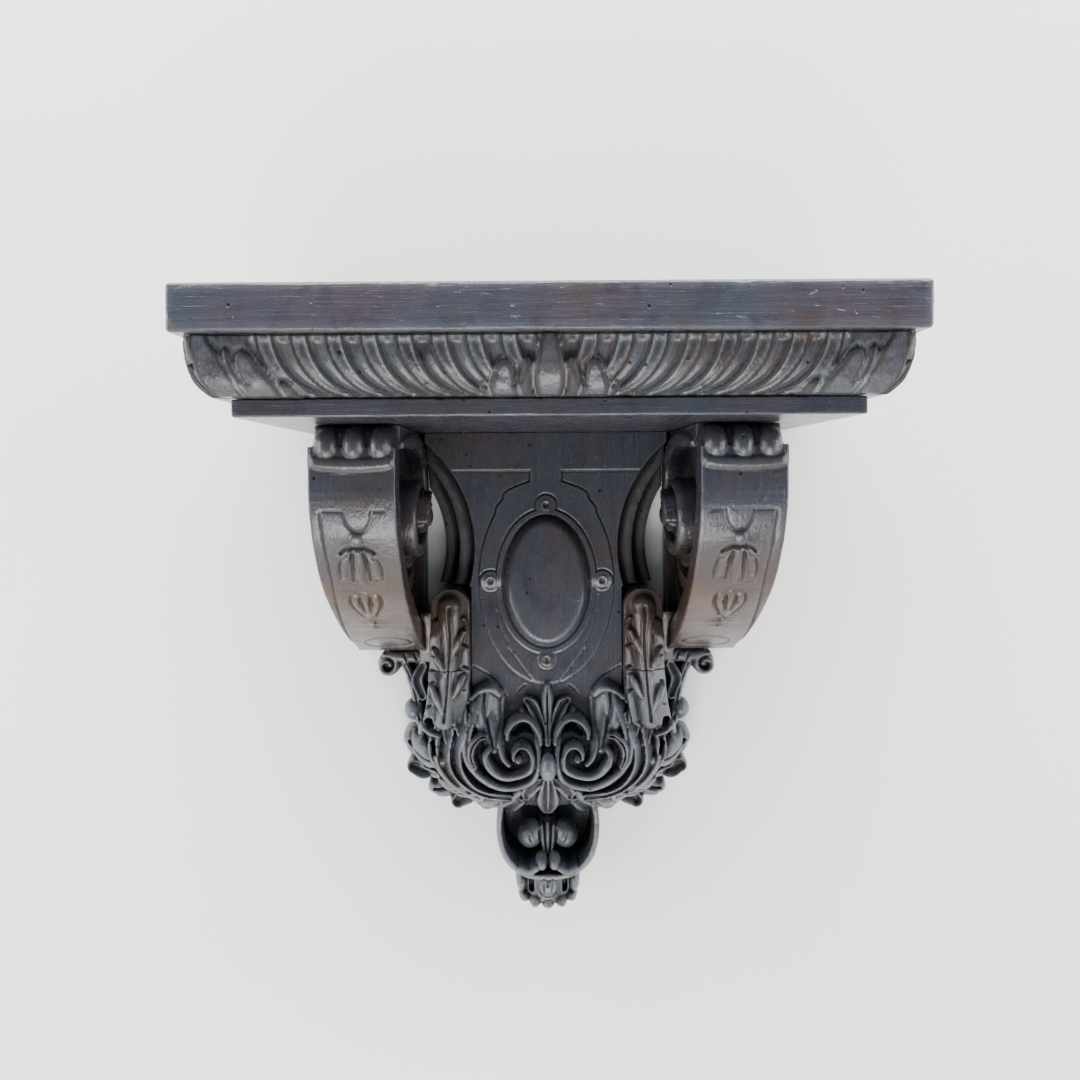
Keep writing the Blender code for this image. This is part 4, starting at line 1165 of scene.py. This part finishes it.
def make_scrolls(material):
    low, high = corners_mm("scroll_right")
    block = Block((low[0], -1.0, low[2]), (high[0], high[1], high[2] + 0.3), SCROLL_GRID_MM)
    lay_strap(block)
    lay_side_faces(block)
    lay_roll(block)

    def column(x, u, z):
        inner, outer = PANEL_LOW_HALF + 0.55, PANEL_LOW_HALF + 28.5
        body = np.maximum(np.abs(x - (inner + outer) / 2) - (outer - inner) / 2, z - COLUMN_TOP)
        top = soft_max(body, np.hypot(x - 70.4, z + 18.0) - 14.2, 1.0)
        return np.maximum(np.where(z > -18.0, top, body), u - 50.0)

    def bridge(x, u, z):
        return most(np.abs(x - 89.0) - 6.0, u - 46.0 - 0.25 * z, np.abs(z + 42.0) - 19.0)

    block.add((50, -5, -66), (92, 60, 0), column, 0.4)
    block.add((80, -5, -64), (98, 60, -20), bridge, 2.0)
    lay_column(block, 1)
    block.trim(0, low=PANEL_LOW_HALF + 0.5)
    block.trim(1, low=0.0)
    block.trim(2, low=GLUE_JOINT + GLUE_HALF_GAP, high=SCROLL_TOP)
    points, faces = block.skin()
    closed_in = shelter(block, points)
    for side, sign in (("right", 1), ("left", -1)):
        carved_piece(side + "_scroll", points * (sign, 1, 1), faces, closed_in, SCROLL_FACES,
                     (0.18, 6.0, 61 + sign), material, "scroll_" + side)


# Materials

class Number:
    """A number that varies over a surface; Python's operators add Math nodes to it."""

    def __init__(self, paint, socket):
        self.paint = paint
        self.socket = socket

    def made(self, operation, *values):
        node = self.paint.node("ShaderNodeMath", {"operation": operation})
        for socket, value in zip(node.inputs, values):
            self.paint.feed(socket, value)
        return Number(self.paint, node.outputs[0])

    def __add__(self, other):
        return self.made("ADD", self, other)

    def __sub__(self, other):
        return self.made("SUBTRACT", self, other)

    def __rsub__(self, other):
        return self.made("SUBTRACT", other, self)

    def __mul__(self, other):
        return self.made("MULTIPLY", self, other)

    __radd__ = __add__
    __rmul__ = __mul__

    def between(self, low, high, smooth=True):
        """0 below low and 1 above high, or the other way round where low is the greater."""
        start, stop = (1.0, 0.0) if low > high else (0.0, 1.0)
        node = self.paint.node(
            "ShaderNodeMapRange", {"interpolation_type": "SMOOTHSTEP" if smooth else "LINEAR"},
            Value=self, From_Min=min(low, high), From_Max=max(low, high), To_Min=start, To_Max=stop)
        return Number(self.paint, node.outputs["Result"])


class Paint:
    """Node helper for one material."""

    def __init__(self, name):
        self.material = bpy.data.materials.new(name)
        self.material.use_nodes = True
        self.tree = self.material.node_tree
        self.shader = self.tree.nodes["Principled BSDF"]

    def node(self, kind, settings=None, **sockets):
        node = self.tree.nodes.new(kind)
        for key, value in (settings or {}).items():
            setattr(node, key, value)
        for key, value in sockets.items():
            self.feed(node.inputs[key.replace("_", " ")], value)
        return node

    def feed(self, socket, value):
        if isinstance(value, Number):
            self.tree.links.new(value.socket, socket)
        elif isinstance(value, bpy.types.NodeSocket):
            self.tree.links.new(value, socket)
        else:
            socket.default_value = value

    def number(self, socket):
        return Number(self, socket)

    def attribute(self, name):
        return self.number(self.node("ShaderNodeAttribute", {"attribute_name": name}).outputs["Fac"])

    def height(self):
        """Height above the boss's middle, in metres."""
        place = self.node("ShaderNodeTexCoord").outputs["Object"]
        return self.number(self.node("ShaderNodeSeparateXYZ", Vector=place).outputs["Z"])

    def stretched(self, scale):
        place = self.node("ShaderNodeTexCoord").outputs["Object"]
        node = self.node("ShaderNodeVectorMath", {"operation": "MULTIPLY"})
        self.feed(node.inputs[0], place)
        self.feed(node.inputs[1], scale)
        return node.outputs[0]

    def noise(self, place, scale, detail=3.0, rough=0.55, distort=0.0):
        node = self.node("ShaderNodeTexNoise", Vector=place, Scale=scale, Detail=detail,
                         Roughness=rough, Distortion=distort)
        return self.number(node.outputs["Fac"])

    def spots(self, place, scale):
        """Distance to the nearest of scattered points, and a random number for each point."""
        node = self.node("ShaderNodeTexVoronoi", {"feature": "F1"}, Vector=place, Scale=scale)
        split = self.node("ShaderNodeSeparateColor")
        self.feed(split.inputs[0], node.outputs["Color"])
        return self.number(node.outputs["Distance"]), self.number(split.outputs[0])

    def mix(self, factor, first, second):
        """A colour part of the way from the first to the second, each a socket or (red, green, blue)."""
        node = self.node("ShaderNodeMix", {"data_type": "RGBA"})
        for i, value in ((0, factor), (6, first), (7, second)):
            self.feed(node.inputs[i], (*value, 1.0) if isinstance(value, tuple) else value)
        return node.outputs[2]

    def bump(self, height, strength, distance):
        node = self.node("ShaderNodeBump", Height=height, Strength=strength, Distance=distance)
        return node.outputs["Normal"]


def stained_wood(name, look, grain, dust_and_highlight, edge, warmth=0.0):
    """Dark stained, waxed wood. grain stretches the fibres, dust is the grey bloom and painted highlight
    on high carving, warmth the brown of the straps' lower ends, worn stain together with painted
    reflection."""
    paint = Paint(name)
    fine = paint.attribute("proud_fine")
    broad = paint.attribute("proud_broad")
    plain = paint.stretched((1.0, 1.0, 1.0))
    fibre_place = paint.stretched(grain)
    fibre = paint.noise(fibre_place, 1.0, 4.0, 0.6, 0.3)
    pores = paint.noise(fibre_place, 2.7, 3.0, 0.6)
    cloud = paint.noise(plain, 17.0, 4.0, 0.6, 0.4)
    patch = paint.noise(plain, 41.0, 4.0, 0.65)
    grit = paint.noise(plain, 620.0, 2.0, 0.7)
    tint = paint.mix(cloud.between(0.35, 0.68), look["cool"], look["warm"])
    tint = paint.mix(fibre.between(0.30, 0.75) * 0.75, tint, look["deep"])
    level = paint.height()
    strap = level.between(0.125, 0.105) * level.between(-0.075, -0.045) * warmth
    # Painted highlight together with real wax bloom: proud ridges and random patches are lightened
    # towards the grey bloom colour, less on the straps.
    bloom = (fine.between(-0.06, 0.16) * 0.70 + 0.22) * patch.between(0.18, 0.54)
    bloom = bloom * (1 - strap * 0.85) * dust_and_highlight
    tint = paint.mix(bloom, tint, look["bloom"])
    rub = fine.between(edge, edge * 2.6) * paint.noise(plain, 95.0, 4.0, 0.7).between(0.40, 0.60)
    tint = paint.mix(rub * 0.60, tint, look["rubbed"])
    # Painted shade together with real dirt: concave creases, broad hollows and closed-in places (shelter)
    # are darkened towards the grime colour, which stands for the shade falling there as well as dirt; the
    # same mask roughens the wax and thins the coat.
    dirt_and_shade = fine.between(-0.03, -0.20) * 0.80 + broad.between(-0.8, -2.4) * 0.20
    dirt_and_shade = dirt_and_shade + paint.attribute("shelter").between(0.60, 0.92) * 0.90
    dirt_and_shade = dirt_and_shade.between(0.0, 1.0, False)
    tint = paint.mix(dirt_and_shade, tint, look["grime"])
    hole, pick = paint.spots(plain, 92.0)
    worm = hole.between(0.12, 0.085) * pick.between(0.62, 0.64)
    tint = paint.mix(worm, tint, (0.004, 0.003, 0.003))
    scuff = paint.noise(paint.stretched((60.0, 160.0, 260.0)), 1.0, 5.0, 0.75, 0.6).between(0.64, 0.74)
    tint = paint.mix(scuff * 0.45 * (1 - worm), tint, look["bloom"])
    umber = paint.noise(plain, 24.0, 3.0, 0.6, 0.5).between(0.50, 0.66)
    tint = paint.mix(umber * 0.45, tint, look["umber"])
    # Painted reflection together with worn stain: the down-facing lower ends of the straps are browned by
    # height, standing for the brown they reflect as well as thin stain.
    brown = level.between(0.050, 0.0) * level.between(-0.070, -0.035) * (umber * 0.3 + 0.7)
    tint = paint.mix(brown * warmth, tint, look["bronze"])
    tint = paint.mix(strap * patch.between(0.35, 0.65) * 0.5, tint, look["deep"])
    paint.feed(paint.shader.inputs["Base Color"], tint)
    rough = 0.08 + fibre * 0.18 + dirt_and_shade * 0.35 + bloom * 0.06 + patch * 0.20 - strap * 0.06
    paint.feed(paint.shader.inputs["Roughness"], rough)
    paint.feed(paint.shader.inputs["Coat Weight"], (1 - dirt_and_shade) * 0.18)
    paint.shader.inputs["Coat Roughness"].default_value = 0.20
    paint.shader.inputs["IOR"].default_value = 1.5
    height = fibre * 0.6 + pores * 0.5 + grit * 0.30 - worm * 4.0 - scuff * 0.4
    paint.feed(paint.shader.inputs["Normal"], paint.bump(height, 0.70, 0.0009))
    return paint.material


# Settings

class BracketSizes(bpy.types.PropertyGroup):
    board_round: bpy.props.FloatProperty(
        name="Board edge round", description="Radius of the shelf board's worn edges",
        default=0.0024, unit="LENGTH", subtype="DISTANCE")
    board_dents: bpy.props.FloatProperty(
        name="Board dents", description="Depth of the knocks along the shelf board's edges",
        default=0.0011, unit="LENGTH", subtype="DISTANCE")
    camera_distance: bpy.props.FloatProperty(
        name="Camera distance", description="Distance of the camera from the wall",
        default=0.640, unit="LENGTH", subtype="DISTANCE")
    camera_height: bpy.props.FloatProperty(
        name="Camera height", description="Height of the camera above the boss's middle",
        default=0.075, unit="LENGTH", subtype="DISTANCE")


class BracketColours(bpy.types.PropertyGroup):
    cool: bpy.props.FloatVectorProperty(
        name="Cool stain", description="Blue-grey side of the dark stain", size=3, subtype="COLOR",
        default=(0.020, 0.024, 0.040), min=0, max=1)
    warm: bpy.props.FloatVectorProperty(
        name="Warm stain", description="Purple-brown side of the dark stain", size=3, subtype="COLOR",
        default=(0.040, 0.024, 0.036), min=0, max=1)
    deep: bpy.props.FloatVectorProperty(
        name="Fibre", description="Dark fibres of the grain", size=3, subtype="COLOR",
        default=(0.009, 0.009, 0.014), min=0, max=1)
    # Grey of old wax and dust on the high carving, also used as painted highlight on proud ridges and for
    # pale scuffs.
    bloom: bpy.props.FloatVectorProperty(
        name="Wax bloom", description="Grey bloom of old wax and dust on the high carving", size=3,
        subtype="COLOR", default=(0.104, 0.118, 0.136), min=0, max=1)
    rubbed: bpy.props.FloatVectorProperty(
        name="Rubbed wood", description="Red-brown wood where the arrises are rubbed", size=3,
        subtype="COLOR", default=(0.150, 0.072, 0.048), min=0, max=1)
    umber: bpy.props.FloatVectorProperty(
        name="Umber", description="Brown patches of the older stain", size=3, subtype="COLOR",
        default=(0.040, 0.026, 0.019), min=0, max=1)
    # Brown of the straps' lower ends: thin stain, also used as painted reflection on the down-facing
    # ends.
    bronze: bpy.props.FloatVectorProperty(
        name="Worn brown", description="Brown of the straps' lower ends, where the dark stain is thin",
        size=3, subtype="COLOR", default=(0.070, 0.034, 0.013), min=0, max=1)
    # Dark of dirt in the hollows, also used as painted shade in creases and closed-in recesses.
    grime: bpy.props.FloatVectorProperty(
        name="Grime", description="Dark brown-black dirt in the hollows", size=3, subtype="COLOR",
        default=(0.005, 0.0045, 0.004), min=0, max=1)
    wall: bpy.props.FloatVectorProperty(
        name="Wall", description="Pale wall behind the bracket", size=3, subtype="COLOR",
        default=(0.92, 0.92, 0.915), min=0, max=1)
    floor: bpy.props.FloatVectorProperty(
        name="Floor", description="Pale floor, whose light falls on the undersides", size=3,
        subtype="COLOR", default=(0.50, 0.49, 0.47), min=0, max=1)


def look_of(context):
    colours = context.scene.bracket_colours
    return {key: tuple(getattr(colours, key)) for key in BracketColours.__annotations__}


WOODS = {
    # Name: stretch of the grain, dust with painted highlight, edge, warmth
    "stained_board": ((16.0, 260.0, 380.0), 0.40, 0.09, 0.0),
    "carved_stained_wood": ((330.0, 330.0, 26.0), 1.0, 0.16, 0.75),
    "panel_stained_wood": ((360.0, 90.0, 20.0), 0.45, 0.32, 0.0),
}


def wood(context, name):
    return bpy.data.materials.get(name) or stained_wood(name, look_of(context), *WOODS[name])


# Stage

ROOM_HALF_WIDTH = 3.0
ROOM_DEPTH = 3.2
FLOOR_Z = -1.1
WALL_TOP = 2.2
WALL_Y = 0.003
SKY = (0.78, 0.84, 0.92, 1.0)
SKY_STRENGTH = 0.48
LIGHTS = (
    # Name, place, turn in degrees, size, watts, colour
    ("low_window", (-0.15, -0.95, -0.85), (134, 0, 0), (0.9, 0.35), 15, (1.0, 0.97, 0.93)),
    ("left_window", (-1.6, -0.7, 0.0), (90, 0, -67), (0.6, 1.6), 31, (0.94, 0.97, 1.0)),
    ("right_window", (1.6, -0.7, 0.0), (90, 0, 67), (0.6, 1.6), 26, (0.94, 0.97, 1.0)),
    ("wall_wash", (0.0, -0.7, 1.8), (22, 0, 0), (3.0, 0.6), 160, (1.0, 1.0, 1.0)),
)
FRAME_WIDTH_PX = 1080
LENS_PX = 811.0
EYE_LINE_PX = (533.8, 480.0)
SENSOR_MM = 36.0
EYE_X = -0.0088
CAMERA_ROLL = math.radians(0.35)


def plain_sheet(name, corners, colour):
    mesh = bpy.data.meshes.new(name)
    mesh.from_pydata(corners, [], [(0, 1, 2, 3)])
    item = bpy.data.objects.new(name, mesh)
    bpy.context.scene.collection.objects.link(item)
    paint = Paint(name)
    paint.shader.inputs["Base Color"].default_value = (*colour, 1.0)
    paint.shader.inputs["Roughness"].default_value = 0.9
    mesh.materials.append(paint.material)


def soft_light(name, place, turn, size, power, colour):
    data = bpy.data.lights.new(name, "AREA")
    data.shape = "RECTANGLE"
    data.size, data.size_y = size
    data.energy = power
    data.color = colour
    item = bpy.data.objects.new(name, data)
    item.location = place
    item.rotation_euler = [math.radians(angle) for angle in turn]
    bpy.context.scene.collection.objects.link(item)


def make_stage(context):
    sizes = context.scene.bracket_sizes
    look = look_of(context)
    wide = ROOM_HALF_WIDTH
    plain_sheet("pale_wall", [(-wide, WALL_Y, FLOOR_Z), (wide, WALL_Y, FLOOR_Z),
                              (wide, WALL_Y, WALL_TOP), (-wide, WALL_Y, WALL_TOP)], look["wall"])
    plain_sheet("pale_floor", [(-wide, -ROOM_DEPTH, FLOOR_Z), (wide, -ROOM_DEPTH, FLOOR_Z),
                               (wide, WALL_Y, FLOOR_Z), (-wide, WALL_Y, FLOOR_Z)], look["floor"])
    world = bpy.data.worlds.new("soft_room")
    world.use_nodes = True
    back = world.node_tree.nodes["Background"]
    back.inputs["Color"].default_value = SKY
    back.inputs["Strength"].default_value = SKY_STRENGTH
    context.scene.world = world
    for light in LIGHTS:
        soft_light(*light)
    data = bpy.data.cameras.new("camera")
    data.sensor_width = SENSOR_MM
    data.lens = LENS_PX / FRAME_WIDTH_PX * SENSOR_MM
    data.shift_x = (FRAME_WIDTH_PX / 2 - EYE_LINE_PX[0]) / FRAME_WIDTH_PX
    data.shift_y = (EYE_LINE_PX[1] - FRAME_WIDTH_PX / 2) / FRAME_WIDTH_PX
    data.clip_start = 0.01
    camera = bpy.data.objects.new("camera", data)
    camera.location = (EYE_X, -sizes.camera_distance, sizes.camera_height)
    camera.rotation_euler = (math.radians(90), CAMERA_ROLL, 0)
    context.scene.collection.objects.link(camera)
    context.scene.camera = camera


# Operators

class BracketShelfBoard(bpy.types.Operator):
    """Add the worn shelf board"""
    bl_idname = "bracket.shelf_board"
    bl_label = "Shelf board"

    def execute(self, context):
        sizes = context.scene.bracket_sizes
        low, high = corners_mm("shelf_board")
        make_worn_board("worn_shelf_board", low, high, sizes.board_round / MM, sizes.board_dents / MM,
                        wood(context, "stained_board"), "board_wood", "shelf_board")
        return {"FINISHED"}


class BracketMoulding(bpy.types.Operator):
    """Add the gadrooned moulding"""
    bl_idname = "bracket.moulding"
    bl_label = "Gadrooned moulding"

    def execute(self, context):
        make_moulding(wood(context, "carved_stained_wood"))
        return {"FINISHED"}


class BracketBedBoard(bpy.types.Operator):
    """Add the thin board below the moulding"""
    bl_idname = "bracket.bed_board"
    bl_label = "Bed board"

    def execute(self, context):
        sizes = context.scene.bracket_sizes
        low, high = corners_mm("bed_board")
        make_worn_board("worn_bed_board", low, high, sizes.board_round / MM * 0.5,
                        sizes.board_dents / MM * 0.5, wood(context, "stained_board"),
                        "board_wood", "bed_board")
        return {"FINISHED"}


class BracketPanel(bpy.types.Operator):
    """Add the panel with its oval boss"""
    bl_idname = "bracket.oval_panel"
    bl_label = "Oval panel"

    def execute(self, context):
        make_panel(wood(context, "panel_stained_wood"))
        return {"FINISHED"}


class BracketScrolls(bpy.types.Operator):
    """Add both scroll brackets"""
    bl_idname = "bracket.scrolls"
    bl_label = "Scroll brackets"

    def execute(self, context):
        make_scrolls(wood(context, "carved_stained_wood"))
        return {"FINISHED"}


class BracketLeafBlock(bpy.types.Operator):
    """Add the acanthus block"""
    bl_idname = "bracket.leaf_block"
    bl_label = "Acanthus block"

    def execute(self, context):
        make_leaf_block(wood(context, "carved_stained_wood"))
        return {"FINISHED"}


class BracketPendant(bpy.types.Operator):
    """Add the hollow pendant"""
    bl_idname = "bracket.pendant"
    bl_label = "Pendant"

    def execute(self, context):
        make_pendant(wood(context, "carved_stained_wood"))
        return {"FINISHED"}


class BracketStage(bpy.types.Operator):
    """Add the pale wall and floor, the lights and the camera"""
    bl_idname = "bracket.stage"
    bl_label = "Stage"

    def execute(self, context):
        make_stage(context)
        return {"FINISHED"}


class BracketSidebar(bpy.types.Panel):
    bl_idname = "VIEW3D_PT_bracket"
    bl_label = "Wall bracket"
    bl_space_type = "VIEW_3D"
    bl_region_type = "UI"
    bl_category = "Bracket"

    def draw(self, context):
        layout = self.layout
        for group in (context.scene.bracket_sizes, context.scene.bracket_colours):
            for key in group.bl_rna.properties.keys():
                if key not in ("name", "rna_type"):
                    layout.prop(group, key)
        for step in STEPS:
            layout.operator(step.bl_idname)


GROUPS = (BracketSizes, BracketColours)
STEPS = (BracketShelfBoard, BracketMoulding, BracketBedBoard, BracketPanel, BracketScrolls,
         BracketLeafBlock, BracketPendant, BracketStage)


def register():
    for item in GROUPS + STEPS + (BracketSidebar,):
        bpy.utils.register_class(item)
    bpy.types.Scene.bracket_sizes = bpy.props.PointerProperty(type=BracketSizes)
    bpy.types.Scene.bracket_colours = bpy.props.PointerProperty(type=BracketColours)


def unregister():
    del bpy.types.Scene.bracket_colours
    del bpy.types.Scene.bracket_sizes
    for item in reversed(GROUPS + STEPS + (BracketSidebar,)):
        bpy.utils.unregister_class(item)


def main():
    register()
    for step in STEPS:
        group, name = step.bl_idname.split(".")
        getattr(getattr(bpy.ops, group), name)()


if __name__ == "__main__":
    main()
